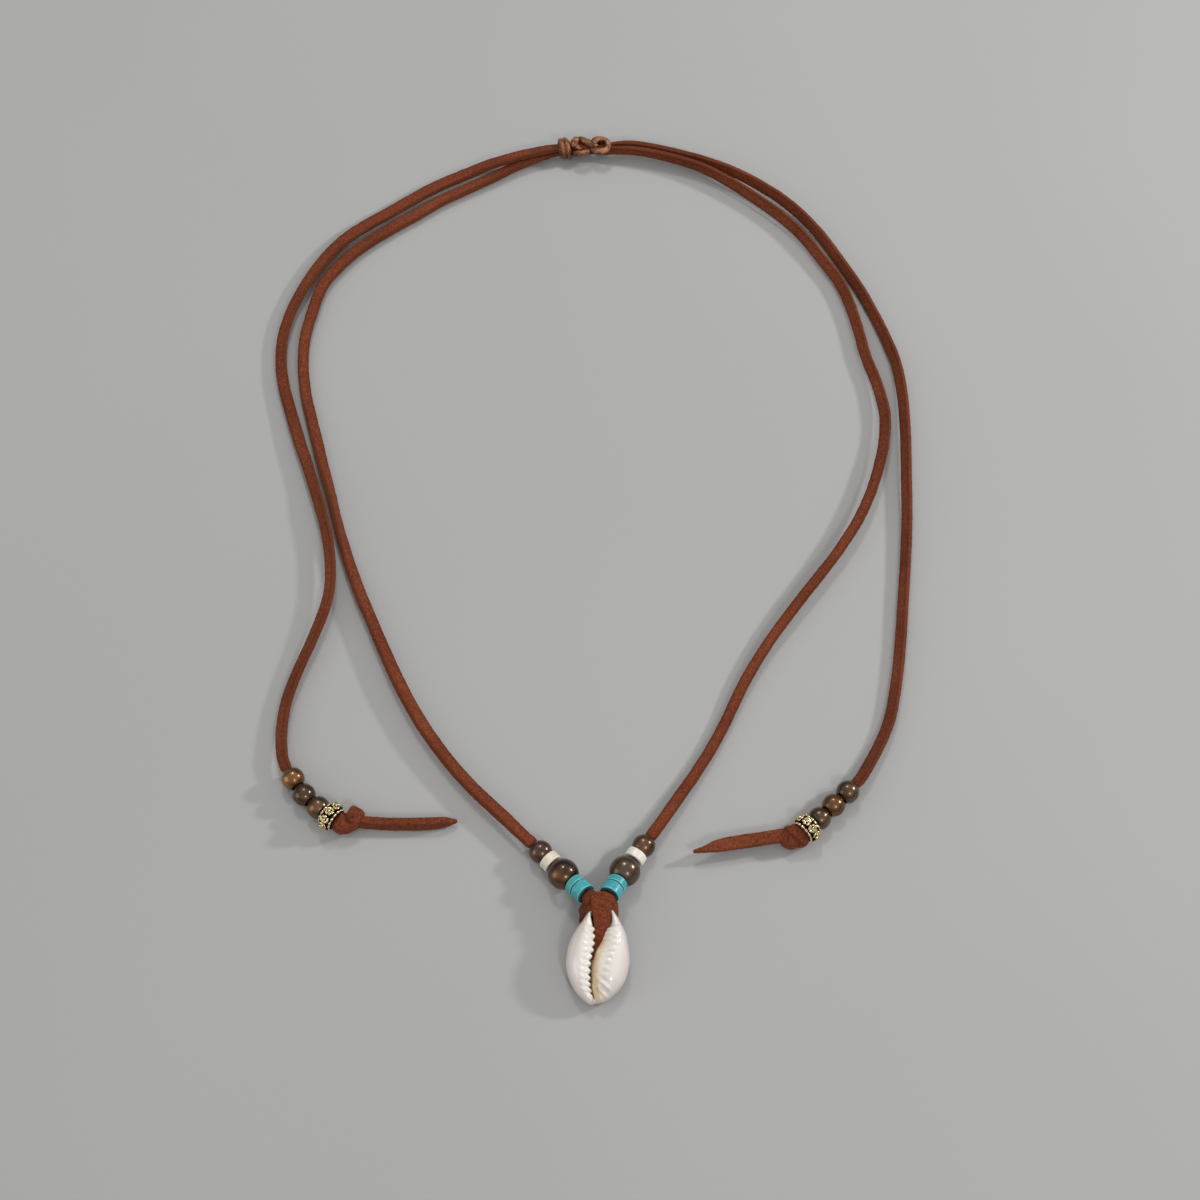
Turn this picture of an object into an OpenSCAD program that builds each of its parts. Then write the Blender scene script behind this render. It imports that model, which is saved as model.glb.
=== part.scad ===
// Shell necklace: one suede lace folded over a cowrie shell, strung with
// beads and discs, closed by a sliding cord knot, with beaded ends.
// It lies on a flat surface, z = 0, shell towards -Y, sliding knot towards +Y.
// All sizes in millimetres.

/* [Lace] */
// Scale of the lace width along the whole lace
lace_width_scale = 1.0; // [0.9:0.01:1.05]
// Scale of the lace thickness along the whole lace
lace_thick_scale = 1.0; // [0.85:0.01:1.05]
// Corner chamfer of the lace section, as a share of its thickness
lace_chamfer = 0.25; // [0.15:0.05:0.4]

/* [Beads] */
// Diameter of the six end beads and the two small pendant beads
small_bead_d = 6.0; // [5.8:0.05:6.0]
// Diameter of the two large pendant beads
large_bead_d = 8.0; // [7.8:0.05:8.0]
// Diameter of the holes in the small beads
small_bore_d = 3.2; // [3.2:0.05:3.3]
// Diameter of the holes in the large beads
large_bore_d = 3.4; // [3.4:0.05:3.5]
// Gap between neighbouring strung pieces
bead_gap = 0.06; // [0.04:0.01:0.08]

/* [Discs] */
// Diameter of the white and turquoise discs
disc_d = 5.4; // [5.2:0.05:5.5]
// Diameter of the holes in the discs
disc_bore_d = 3.2; // [3.2:0.05:3.4]
// Thickness of a white disc
white_disc_t = 2.2; // [2.0:0.05:2.3]
// Thickness of the turquoise disc next to the large bead
thin_disc_t = 2.1; // [1.9:0.05:2.2]
// Thickness of the turquoise disc next to the shell
thick_disc_t = 3.0; // [2.6:0.05:3.1]
// Bevel at the rims of the discs
disc_bevel = 0.25; // [0.1:0.05:0.4]

/* [Gold spacers] */
// Outer diameter over the big granules
spacer_d = 7.7; // [7.3:0.05:7.8]
// Thickness of a spacer
spacer_t = 3.2; // [2.8:0.05:3.3]
// Diameter of the hole in a spacer
spacer_bore_d = 3.8; // [3.7:0.05:3.9]
// Number of big granules round a spacer
spacer_granules = 9; // [7:1:9]

/* [Sliding knot] */
// Diameter of the waxed cord of the knot
knot_cord_d = 1.5; // [1.3:0.05:1.55]
// Number of turns of the cord round the two laces
knot_turns = 5; // [4:1:5]
// Radius from the laces' middle to the middle of the cord
knot_radius = 2.55; // [2.5:0.01:2.58]

/* [Shell] */
// Length of the cowrie shell, its end faces the large beads
shell_l = 23.4; // [22:0.1:23.5]
// Width of the shell
shell_w = 15.9; // [15:0.1:16]
// Height of the lips above the cut back
shell_h = 6.6; // [6:0.1:6.8]
// Tilt of the shell, its hitched end lies on the lace
shell_tilt = 10; // [9.5:0.1:10.5]

/* [Hidden] */
$fn = 48;

suede = "#8a3d24";
bronze = "#6d5646";
turquoise = "#3fa3a8";
bone = "#e8e0d2";
gold = "#c9b06a";
copper = "#a5643c";
pearl = "#f3efec";

// ---- vectors and smooth tables ----
function unit(v) = v / norm(v);
function xyz(r) = [r[0], r[1], r[2]];
// Smooth curve through four rows at share t between the middle two
function smooth(a, b, c, d, t) =
  0.5 * (2 * b + (c - a) * t + (2 * a - 5 * b + 4 * c - d) * t * t
         + (3 * b - a - 3 * c + d) * t * t * t);
// An open table with n steps from each row to the next
function dense(m, n) = [
  for (i = [0 : len(m) - 2], k = [0 : n - 1])
    smooth(m[max(i - 1, 0)], m[i], m[i + 1], m[min(i + 2, len(m) - 1)], k / n),
  m[len(m) - 1]
];
// The same for a table whose last row joins its first
function dense_round(m, n) = let (c = len(m)) [
  for (i = [0 : c - 1], k = [0 : n - 1])
    smooth(m[(i + c - 1) % c], m[i], m[(i + 1) % c], m[(i + 2) % c], k / n)
];

// ---- lace: a flat strip with chamfered corners, eight points round ----
function strip_section(w, t) = let (a = w / 2, b = t / 2, c = t * lace_chamfer) [
  [a - c, -b], [a, -b + c], [a, b - c], [a - c, b],
  [c - a, b], [-a, b - c], [-a, c - b], [c - a, -b]
];
// Rings along a dense table of x, y, z, roll, width, thickness
function strip_rings(m, ref) = [
  for (i = [0 : len(m) - 1]) let (
    p = xyz(m[i]),
    t = unit(xyz(m[min(i + 1, len(m) - 1)]) - xyz(m[max(i - 1, 0)])),
    s = unit(cross(t, ref)),
    u = cross(s, t),
    r = m[i][3],
    wide = cos(r) * s + sin(r) * u,
    thin = cos(r) * u - sin(r) * s
  ) [for (q = strip_section(m[i][4] * lace_width_scale, m[i][5] * lace_thick_scale))
      p + q[0] * wide + q[1] * thin]
];
function tube_rings(m, r, ref) = [
  for (i = [0 : len(m) - 1]) let (
    p = m[i],
    t = unit(m[min(i + 1, len(m) - 1)] - m[max(i - 1, 0)]),
    s = unit(cross(t, ref)),
    u = cross(s, t)
  ) [for (k = [0 : 7]) p + r * cos(45 * k) * s + r * sin(45 * k) * u]
];
// Skin over open rings, closed by a flat face at each end
module loft(rings) {
  n = len(rings); c = len(rings[0]);
  polyhedron(
    points = [for (g = rings) for (p = g) p],
    faces = concat(
      [[for (k = [0 : c - 1]) c - 1 - k]],
      [[for (k = [0 : c - 1]) (n - 1) * c + k]],
      [for (i = [0 : n - 2], k = [0 : c - 1])
        [i * c + k, (i + 1) * c + (k + 1) % c, (i + 1) * c + k]],
      [for (i = [0 : n - 2], k = [0 : c - 1])
        [i * c + k, i * c + (k + 1) % c, (i + 1) * c + (k + 1) % c]]),
    convexity = 8);
}
// Skin over rings whose last joins the first
module loft_round(rings) {
  n = len(rings); c = len(rings[0]);
  polyhedron(
    points = [for (g = rings) for (p = g) p],
    faces = concat(
      [for (i = [0 : n - 1], k = [0 : c - 1])
        [i * c + k, ((i + 1) % n) * c + (k + 1) % c, ((i + 1) % n) * c + k]],
      [for (i = [0 : n - 1], k = [0 : c - 1])
        [i * c + k, i * c + (k + 1) % c, ((i + 1) % n) * c + (k + 1) % c]]),
    convexity = 8);
}
module strip(m, steps, ref) loft(strip_rings(dense(m, steps), ref));

// ---- strung pieces: where they sit along the lace ----
small_half = sqrt(pow(small_bead_d / 2, 2) - pow(small_bore_d / 2, 2));
large_half = sqrt(pow(large_bead_d / 2, 2) - pow(large_bore_d / 2, 2));

// Large pendant beads, and the lace's direction out to the small bead and in to the shell
large_left = [-6.3, -95.6, 4.0];
large_right = [9.3, -94.8, 4.0];
out_left = unit([-5.8, 6.2, -0.95]);
out_right = unit([4.7, 6.8, -0.9]);
in_left = unit([4.2, -4.5, 2.0]);
in_right = unit([-2.9, -5.3, 2.3]);

white_at = large_half + 0.2 + white_disc_t / 2;
small_at = large_half + 0.2 + white_disc_t + bead_gap + small_half;
thin_at = large_half + 0.2 + thin_disc_t / 2;
thick_at = large_half + 0.2 + thin_disc_t + bead_gap + thick_disc_t / 2;

// End beads: middle points, from the neck to the knot
//            x      y      z
ends_left = [[-76.5, -69.5, 3.0], [-73.4, -73.9, 3.0], [-69.5, -77.4, 3.0]];
ends_right = [[67.0, -73.1, 3.0], [63.2, -76.7, 3.0], [59.4, -80.3, 3.0]];
end_axis_left = [unit([3.0, -4.8, 0]), unit([3.5, -3.9, 0]), unit([3.8, -3.2, 0])];
end_axis_right = [unit([-3.7, -3.9, 0]), unit([-3.8, -3.6, 0]), unit([-3.8, -3.4, 0])];
spacer_at = small_half + bead_gap + 0.1 + spacer_t / 2;
spacer_left = ends_left[2] + spacer_at * unit([4, -3, 0]) + [0, 0, spacer_d / 2 - 3.0];
spacer_right = ends_right[2] + spacer_at * unit([-3, -2.7, 0]) + [0, 0, spacer_d / 2 - 3.0];

// ---- lace routes: x, y, z, roll, width, thickness ----
// From the left large bead up the left side, through the sliding knot and
// down the right side to the right end beads
left_half_route = [
  [-6.5, -95.4, 4.0, 0, 2.2, 1.2],
  [-9.4, -92.3, 3.5, 0, 2.2, 1.2],
  [-12.2, -89.3, 3.0, 0, 2.2, 1.2],
  [-13.5, -87.9, 2.8, -4, 2.2, 1.2],
  [-14.6, -86.8, 2.8, -6, 3.1, 1.4],
  [-16.6, -85.0, 2.8, -10, 3.1, 1.5],
  [-22.5, -79.2, 2.7, -15, 3.3, 1.6],
  [-29.5, -72.4, 2.6, -20, 3.3, 1.6],
  [-36.0, -65.0, 2.6, -20, 3.3, 1.6],
  [-41.5, -57.5, 2.7, -20, 3.4, 1.6],
  [-46.0, -50.3, 2.7, -20, 3.4, 1.6],
  [-50.5, -41.8, 2.7, -20, 3.4, 1.6],
  [-54.6, -32.8, 2.6, -20, 3.3, 1.6],
  [-58.0, -24.8, 2.5, -22, 3.2, 1.6],
  [-61.5, -16.6, 2.4, -25, 3.2, 1.6],
  [-64.5, -8.5, 2.3, -30, 3.1, 1.5],
  [-67.1, -0.5, 2.2, -45, 3.1, 1.5],
  [-69.4, 7.5, 2.2, -55, 3.1, 1.5],
  [-71.5, 15.5, 2.2, -50, 3.1, 1.5],
  [-74.0, 24.0, 2.1, -35, 3.1, 1.5],
  [-76.0, 31.5, 1.9, -20, 3.1, 1.5],
  [-78.3, 40.0, 1.7, -15, 3.1, 1.5],
  [-80.0, 47.0, 1.6, -10, 3.1, 1.5],
  [-81.2, 56.5, 1.6, -10, 3.1, 1.5],
  [-81.0, 65.0, 1.7, -10, 3.1, 1.5],
  [-79.5, 73.0, 1.8, -8, 3.2, 1.5],
  [-77.0, 82.0, 1.8, -5, 3.3, 1.5],
  [-72.3, 89.3, 1.7, 0, 3.4, 1.6],
  [-66.3, 95.6, 1.6, 0, 3.4, 1.6],
  [-58.8, 101.4, 1.5, 0, 3.4, 1.6],
  [-49.8, 107.6, 1.5, 0, 3.4, 1.6],
  [-44.0, 111.7, 1.5, 5, 3.4, 1.6],
  [-36.0, 116.1, 1.6, 8, 3.3, 1.6],
  [-29.2, 119.7, 1.7, 10, 3.2, 1.5],
  [-22.0, 123.8, 2.0, 12, 3.1, 1.5],
  [-16.5, 126.2, 2.3, 15, 3.0, 1.5],
  [-12.0, 127.9, 2.5, 15, 2.9, 1.4],
  [-8.0, 128.7, 2.7, 15, 2.6, 1.0],
  [-4.0, 129.0, 2.7, -10, 2.6, 1.0],
  [0.0, 129.3, 2.8, -35, 2.6, 1.0],
  [4.0, 129.5, 3.0, -60, 2.6, 1.0],
  [8.0, 130.2, 3.5, -85, 2.8, 1.2],
  [12.0, 130.3, 3.7, -90, 3.0, 1.4],
  [18.0, 129.2, 3.8, -90, 3.1, 1.5],
  [25.5, 127.3, 3.7, -90, 3.1, 1.5],
  [33.2, 124.9, 3.5, -85, 3.1, 1.5],
  [40.6, 121.9, 3.2, -75, 3.1, 1.5],
  [48.2, 117.7, 2.8, -67, 3.2, 1.5],
  [55.5, 112.5, 2.5, -62, 3.2, 1.5],
  [61.7, 106.5, 2.2, -60, 3.2, 1.5],
  [67.2, 99.5, 2.0, -60, 3.1, 1.5],
  [72.0, 91.5, 1.9, -60, 3.1, 1.5],
  [77.2, 82.0, 1.9, -55, 3.1, 1.5],
  [80.9, 73.8, 1.9, -55, 3.1, 1.5],
  [84.6, 64.0, 1.9, -50, 3.1, 1.5],
  [86.9, 55.8, 2.0, -50, 3.1, 1.5],
  [88.0, 46.8, 2.2, -50, 3.1, 1.5],
  [88.2, 37.2, 2.4, -50, 3.1, 1.5],
  [88.0, 27.5, 2.4, -50, 3.1, 1.5],
  [87.6, 18.5, 2.3, -50, 3.1, 1.5],
  [87.0, 5.5, 2.1, -50, 3.1, 1.5],
  [86.0, -5.5, 1.9, -50, 3.1, 1.5],
  [84.7, -17.5, 1.8, -50, 3.1, 1.5],
  [83.3, -29.8, 1.8, -45, 3.1, 1.5],
  [81.6, -41.2, 1.8, -45, 3.1, 1.5],
  [79.3, -51.8, 1.9, -40, 3.1, 1.5],
  [75.9, -60.0, 2.2, -40, 3.1, 1.5],
  [71.4, -68.0, 2.8, -35, 3.1, 1.5],
  [69.5, -70.6, 3.0, -35, 3.0, 1.4],
  [68.5, -71.6, 3.0, -35, 2.2, 1.2],
  [67.0, -73.1, 3.0, -35, 2.2, 1.2],
  [63.2, -76.7, 3.0, -35, 2.2, 1.2],
  [59.5, -80.2, 3.0, -35, 2.2, 1.2]
];
// From the right large bead up the right side, through the sliding knot and
// down the left side to the left end beads
right_half_route = [
  [9.5, -94.6, 4.0, 0, 2.2, 1.2],
  [11.8, -91.2, 3.5, 0, 2.2, 1.2],
  [14.2, -87.8, 3.0, 0, 2.2, 1.2],
  [15.2, -86.3, 2.8, 0, 2.2, 1.2],
  [16.1, -85.0, 2.8, 0, 2.9, 1.4],
  [17.3, -83.3, 2.7, 0, 3.0, 1.5],
  [19.1, -80.7, 2.5, 0, 3.0, 1.5],
  [23.9, -73.5, 2.1, 0, 3.0, 1.5],
  [28.0, -67.3, 1.7, 0, 2.9, 1.5],
  [32.6, -59.7, 1.5, 0, 2.9, 1.5],
  [36.5, -52.0, 1.5, 0, 2.9, 1.5],
  [39.8, -44.9, 1.8, 0, 2.9, 1.5],
  [43.0, -38.8, 2.1, 0, 2.9, 1.5],
  [47.8, -31.0, 2.6, 0, 2.8, 1.5],
  [53.0, -23.7, 3.1, 0, 2.8, 1.5],
  [58.6, -16.2, 3.5, 0, 2.8, 1.5],
  [63.8, -9.4, 3.7, 0, 2.8, 1.5],
  [68.5, -2.8, 3.8, 0, 2.8, 1.5],
  [73.3, 5.0, 3.8, 5, 2.8, 1.5],
  [77.0, 12.9, 3.7, 10, 2.8, 1.5],
  [79.7, 20.8, 3.5, 15, 2.9, 1.5],
  [81.7, 28.8, 3.2, 25, 3.0, 1.5],
  [82.7, 37.2, 2.9, 35, 3.1, 1.5],
  [82.2, 43.6, 2.6, 40, 3.1, 1.5],
  [80.8, 50.2, 2.3, 40, 3.1, 1.5],
  [78.4, 58.4, 2.1, 45, 3.1, 1.5],
  [76.7, 67.3, 2.0, 45, 3.1, 1.5],
  [74.6, 76.0, 2.0, 45, 3.1, 1.5],
  [72.0, 83.2, 2.1, 45, 3.1, 1.5],
  [66.8, 91.8, 2.2, 50, 3.1, 1.5],
  [61.3, 99.9, 2.4, 55, 3.1, 1.5],
  [54.9, 106.6, 2.6, 54, 3.2, 1.5],
  [47.7, 112.6, 2.8, 58, 3.2, 1.5],
  [40.3, 118.0, 3.1, 68, 3.1, 1.5],
  [33.1, 122.3, 3.4, 80, 3.1, 1.5],
  [25.5, 125.2, 3.6, 85, 3.1, 1.5],
  [18.0, 127.2, 3.8, 90, 3.1, 1.5],
  [12.0, 128.3, 3.7, 90, 3.0, 1.4],
  [8.0, 128.5, 3.5, 85, 2.8, 1.1],
  [4.0, 128.3, 3.7, 60, 2.6, 1.0],
  [0.0, 128.5, 3.9, 35, 2.6, 1.0],
  [-4.0, 128.8, 4.0, 10, 2.6, 1.0],
  [-8.0, 129.0, 4.0, -15, 2.6, 1.0],
  [-12.0, 128.4, 4.1, -15, 2.9, 1.4],
  [-16.5, 127.3, 4.1, -15, 3.0, 1.5],
  [-22.0, 125.9, 3.9, -12, 3.1, 1.5],
  [-29.3, 123.6, 3.3, -8, 3.3, 1.5],
  [-36.0, 120.8, 2.6, -5, 3.4, 1.6],
  [-44.2, 117.0, 2.0, 0, 3.4, 1.6],
  [-50.0, 113.4, 1.9, 0, 3.4, 1.6],
  [-59.0, 107.2, 1.8, 0, 3.4, 1.6],
  [-66.5, 102.0, 1.8, 0, 3.4, 1.6],
  [-71.6, 97.6, 1.9, 0, 3.4, 1.6],
  [-76.3, 91.9, 2.0, -5, 3.3, 1.6],
  [-81.2, 83.5, 2.2, -15, 3.2, 1.5],
  [-85.3, 73.8, 2.2, -25, 3.1, 1.5],
  [-87.3, 65.2, 2.0, -25, 3.1, 1.5],
  [-87.5, 57.4, 1.8, -20, 3.1, 1.5],
  [-86.2, 49.0, 1.7, -10, 3.2, 1.5],
  [-83.6, 40.0, 1.8, -5, 3.3, 1.5],
  [-80.7, 30.8, 2.1, -5, 3.3, 1.5],
  [-78.3, 24.0, 2.5, -15, 3.2, 1.5],
  [-75.6, 15.7, 2.9, -30, 3.1, 1.5],
  [-73.2, 7.8, 3.2, -40, 3.1, 1.5],
  [-71.2, 0.4, 3.3, -40, 3.1, 1.5],
  [-70.1, -6.9, 3.4, -40, 3.1, 1.5],
  [-69.8, -14.3, 3.4, -40, 3.1, 1.5],
  [-71.0, -21.6, 3.2, -40, 3.2, 1.6],
  [-73.8, -30.1, 2.8, -40, 3.2, 1.6],
  [-76.0, -35.8, 2.5, -40, 3.2, 1.6],
  [-78.6, -43.3, 2.2, -40, 3.2, 1.6],
  [-80.0, -49.7, 2.1, -40, 3.2, 1.6],
  [-80.4, -57.4, 2.3, -40, 3.2, 1.6],
  [-79.7, -63.0, 2.7, -38, 3.1, 1.5],
  [-78.6, -66.3, 2.9, -35, 3.0, 1.4],
  [-77.6, -67.8, 3.0, -35, 2.2, 1.2],
  [-76.4, -69.6, 3.0, -35, 2.2, 1.2],
  [-73.4, -73.9, 3.0, -35, 2.2, 1.2],
  [-69.7, -77.2, 3.0, -35, 2.2, 1.2]
];
// Free tips beyond the end knots
left_tip_route = [
  [-60.5, -81.0, 2.6, -70, 3.0, 1.8],
  [-57.5, -81.1, 2.1, -76, 3.3, 2.1],
  [-52.0, -81.4, 1.8, -78, 3.3, 2.2],
  [-46.0, -81.5, 1.8, -78, 3.3, 2.2],
  [-40.0, -81.3, 1.8, -78, 3.3, 2.1],
  [-36.8, -80.9, 1.8, -78, 2.7, 1.8],
  [-33.8, -80.6, 1.5, -78, 0.7, 0.8]
];
right_tip_route = [
  [52.8, -84.9, 3.2, 0, 3.0, 1.5],
  [50.2, -84.9, 3.2, 0, 3.4, 1.5],
  [44.5, -85.9, 3.2, 0, 3.5, 1.5],
  [38.8, -86.8, 3.3, 0, 3.5, 1.5],
  [33.4, -87.8, 3.4, 0, 3.2, 1.5],
  [29.8, -88.8, 3.5, 0, 1.7, 1.4],
  [26.8, -89.5, 3.6, 0, 0.7, 1.2]
];
// Knot bodies: middle points of small balls under one skin
//                 x      y      z
left_knot_body = [[-64.0, -82.4, 1.6], [-62.9, -83.2, 3.6], [-60.8, -82.8, 1.2],
  [-58.7, -82.1, 4.0], [-58.4, -79.5, 1.4], [-60.3, -78.2, 4.4],
  [-62.4, -79.6, 5.0], [-62.7, -80.2, 1.2]];
right_knot_body = [[54.4, -86.9, 1.6], [53.6, -88.0, 3.8], [51.8, -87.9, 1.2],
  [50.3, -86.5, 4.4], [50.4, -84.1, 1.4], [52.6, -83.4, 4.4],
  [53.6, -84.8, 5.0], [53.4, -85.0, 1.2]];

// ---- lace over the shell's end ----
// Band behind the shell's end, from the left shoulder over to the right one
arch_route = [
  [0.2, -107.4, 1.5, 90, 3.0, 1.2],
  [-1.7, -107.0, 2.3, 90, 3.0, 1.2],
  [-2.3, -106.2, 4.0, 90, 2.7, 1.2],
  [-1.5, -105.0, 6.1, 90, 2.6, 1.3],
  [0.3, -104.0, 7.6, 90, 2.8, 1.4],
  [2.8, -103.5, 8.3, 90, 3.0, 1.5],
  [5.2, -103.8, 7.9, 90, 2.7, 1.4],
  [7.0, -104.7, 6.4, 90, 1.8, 1.2],
  [7.9, -105.8, 4.3, 90, 2.0, 1.2],
  [6.8, -106.6, 2.4, 90, 2.4, 1.2],
  [4.9, -107.1, 1.5, 90, 2.6, 1.2]
];
// Two layers of lace down the shell's open end
tongue_route = [
  [2.8, -103.0, 7.8, 0, 5.0, 1.8],
  [3.0, -104.8, 8.0, 0, 4.8, 2.0],
  [3.05, -106.6, 7.8, 0, 4.0, 2.2],
  [3.0, -108.6, 7.3, 0, 3.6, 2.2],
  [2.7, -110.4, 6.6, 0, 2.3, 2.2],
  [2.6, -112.4, 5.6, 0, 1.5, 2.0],
  [2.1, -114.6, 4.4, 0, 0.5, 1.6]
];
// Lace under the shell's end, on the surface
under_route = [
  [2.6, -112.0, 1.6, 0, 4.0, 1.4],
  [2.6, -109.0, 1.7, 0, 5.0, 2.4],
  [2.5, -106.4, 1.9, 0, 6.0, 2.6],
  [2.5, -104.8, 2.0, 0, 5.4, 2.4]
];
// From the large bead through the discs to the band
function stub_route(at, dir, to) = [
  [at[0] + 0.2 * dir[0], at[1] + 0.2 * dir[1], at[2] + 0.2 * dir[2], 0, 2.1, 1.1],
  [at[0] + 4.5 * dir[0], at[1] + 4.5 * dir[1], at[2] + 4.5 * dir[2], 0, 2.1, 1.1],
  [at[0] + 8.7 * dir[0], at[1] + 8.7 * dir[1], at[2] + 8.7 * dir[2], 0, 2.1, 1.1],
  [at[0] + 9.7 * dir[0], at[1] + 9.7 * dir[1], at[2] + 9.7 * dir[2], 0, 3.6, 2.8],
  [to[0], to[1], to[2], 0, 4.4, 3.0]
];

// ---- the whole necklace, moved so that the middle of its outline is over the origin ----
place = [0, -1.8, 0];

// ---- cowrie shell, in its own frame: +y to the hitched end, z = 0 the cut back ----
// Round the slot, clockwise from the right tip:
//  slot x, slot y, rim x, rim y, lip height (as shares of the sizes below)
shell_rows = [
  [3.2, 11.0, 3.9, 12.4, 4.6],
  [3.0, 9.0, 5.9, 9.2, 5.4],
  [1.8, 7.3, 7.2, 6.2, 6.1],
  [1.1, 4.9, 7.8, 3.0, 6.5],
  [-0.5, 2.2, 8.0, 0.0, 6.6],
  [-1.25, -0.6, 7.6, -3.0, 6.5],
  [-1.45, -3.6, 6.5, -5.9, 6.2],
  [-1.25, -6.5, 4.5, -8.4, 5.4],
  [-0.6, -9.0, 2.0, -10.3, 4.2],
  [-0.9, -9.5, -0.4, -10.8, 2.8],
  [-1.25, -9.1, -2.2, -11.0, 4.2],
  [-1.9, -6.9, -4.9, -8.7, 5.2],
  [-2.05, -3.6, -6.8, -5.7, 6.0],
  [-1.85, -0.6, -7.9, -2.0, 6.4],
  [-1.2, 2.4, -7.8, 1.2, 6.5],
  [-0.9, 5.0, -7.1, 4.2, 6.2],
  [-1.0, 7.4, -5.8, 7.0, 5.7],
  [-1.4, 9.4, -4.0, 9.6, 5.1],
  [-1.6, 11.0, -2.2, 12.2, 4.4],
  [-0.9, 10.8, -1.0, 12.2, 2.1],
  [0.7, 10.6, 0.9, 12.2, 1.6],
  [2.3, 10.8, 2.8, 12.3, 2.1]
];
// Lip section: share of the way from slot to rim, share of the lip height
lip_section = [
  [0.00, 0.62], [0.04, 0.82], [0.20, 0.97], [0.45, 1.00], [0.70, 0.90],
  [0.90, 0.66], [1.00, 0.38], [0.97, 0.14], [0.88, 0.00], [0.70, 0.00],
  [0.78, 0.28], [0.62, 0.60], [0.35, 0.70], [0.12, 0.60]
];
function shell_rings() = [
  for (r = dense_round(shell_rows, 2))
    [for (q = lip_section) [
      (r[0] + (r[2] - r[0]) * q[0]) * shell_w / 15.9,
      (r[1] + (r[3] - r[1]) * q[0]) * shell_l / 23.4,
      r[4] * q[1] * shell_h / 6.6]]
];

// ---- turned pieces, their hole along z ----
module bead(d, bore) {
  difference() {
    sphere(d = d);
    cylinder(d = bore, h = d + 2, center = true);
  }
}
module disc(t) {
  rotate_extrude() polygon([
    [disc_bore_d / 2, -t / 2], [disc_d / 2 - disc_bevel, -t / 2],
    [disc_d / 2, disc_bevel - t / 2], [disc_d / 2, t / 2 - disc_bevel],
    [disc_d / 2 - disc_bevel, t / 2], [disc_bore_d / 2, t / 2]]);
}
module spacer() {
  granule_d = 2.1;
  difference() {
    union() {
      cylinder(d = spacer_d - 1.6, h = spacer_t, center = true);
      for (k = [0 : spacer_granules - 1])
        rotate([0, 0, (k + 0.5) * 360 / spacer_granules])
          translate([spacer_d / 2 - granule_d / 2, 0, 0]) sphere(d = granule_d, $fn = 32);
    }
    cylinder(d = spacer_bore_d, h = spacer_t + 4, center = true);
  }
}
// Puts a turned piece at a point with its hole along a direction
module thread(at, dir) {
  translate(at)
    rotate([0, acos(dir[2] / norm(dir)), atan2(dir[1], dir[0])])
      children();
}
module knot_body(balls, d) {
  hull() for (p = balls) translate(p) sphere(d = d, $fn = 16);
}

// ---- one module for each piece ----
module cowrie_shell() {
  color(pearl) translate([2.4, -117.6, 2.2]) rotate([shell_tilt, 0, 0])
    loft_round(shell_rings());
}
module lace_hitch() {
  color(suede) union() {
    strip(arch_route, 2, unit([0, 1, 0.4]));
    strip(tongue_route, 2, [0, 0, 1]);
    strip(under_route, 2, [0, 0, 1]);
    strip(stub_route(large_left, in_left, [1.2, -103.4, 7.7]), 2, [0, 0, 1]);
    strip(stub_route(large_right, in_right, [4.3, -103.5, 7.8]), 2, [0, 0, 1]);
  }
}
module lace_left_half() { color(suede) strip(left_half_route, 2, [0, 0, 1]); }
module lace_right_half() { color(suede) strip(right_half_route, 2, [0, 0, 1]); }

module turquoise_disc_left_1() { color(turquoise) thread(large_left + thin_at * in_left, in_left) disc(thin_disc_t); }
module turquoise_disc_left_2() { color(turquoise) thread(large_left + thick_at * in_left, in_left) disc(thick_disc_t); }
module turquoise_disc_right_1() { color(turquoise) thread(large_right + thin_at * in_right, in_right) disc(thin_disc_t); }
module turquoise_disc_right_2() { color(turquoise) thread(large_right + thick_at * in_right, in_right) disc(thick_disc_t); }

module large_bead_left() { color(bronze) thread(large_left, in_left - out_left) bead(large_bead_d, large_bore_d); }
module large_bead_right() { color(bronze) thread(large_right, in_right - out_right) bead(large_bead_d, large_bore_d); }
module white_disc_left() { color(bone) thread(large_left + white_at * out_left, out_left) disc(white_disc_t); }
module white_disc_right() { color(bone) thread(large_right + white_at * out_right, out_right) disc(white_disc_t); }
module small_bead_left() { color(bronze) thread(large_left + small_at * out_left, out_left) bead(small_bead_d, small_bore_d); }
module small_bead_right() { color(bronze) thread(large_right + small_at * out_right, out_right) bead(small_bead_d, small_bore_d); }

// The knot: a cord wound round both laces, each turn leaning a little
module sliding_knot() {
  steps = 16;
  color(copper) loft(tube_rings([
    for (i = [0 : knot_turns * steps]) let (
      a = i * 360 / steps,
      lean = 0.55 * sin(a + 40)
    ) [-8.4 + 13.8 * i / (knot_turns * steps) + lean,
       128.95 + knot_radius * cos(a),
       3.4 + knot_radius * sin(a)]
  ], knot_cord_d / 2, [1, 0, 0]));
}

module end_bead_left_1() { color(bronze) thread(ends_left[0], end_axis_left[0]) bead(small_bead_d, small_bore_d); }
module end_bead_left_2() { color(bronze) thread(ends_left[1], end_axis_left[1]) bead(small_bead_d, small_bore_d); }
module end_bead_left_3() { color(bronze) thread(ends_left[2], end_axis_left[2]) bead(small_bead_d, small_bore_d); }
module end_bead_right_1() { color(bronze) thread(ends_right[0], end_axis_right[0]) bead(small_bead_d, small_bore_d); }
module end_bead_right_2() { color(bronze) thread(ends_right[1], end_axis_right[1]) bead(small_bead_d, small_bore_d); }
module end_bead_right_3() { color(bronze) thread(ends_right[2], end_axis_right[2]) bead(small_bead_d, small_bore_d); }
module gold_spacer_left() { color(gold) thread(spacer_left, [4, -3, 0]) spacer(); }
module gold_spacer_right() { color(gold) thread(spacer_right, [-3, -2.7, 0]) spacer(); }

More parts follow.
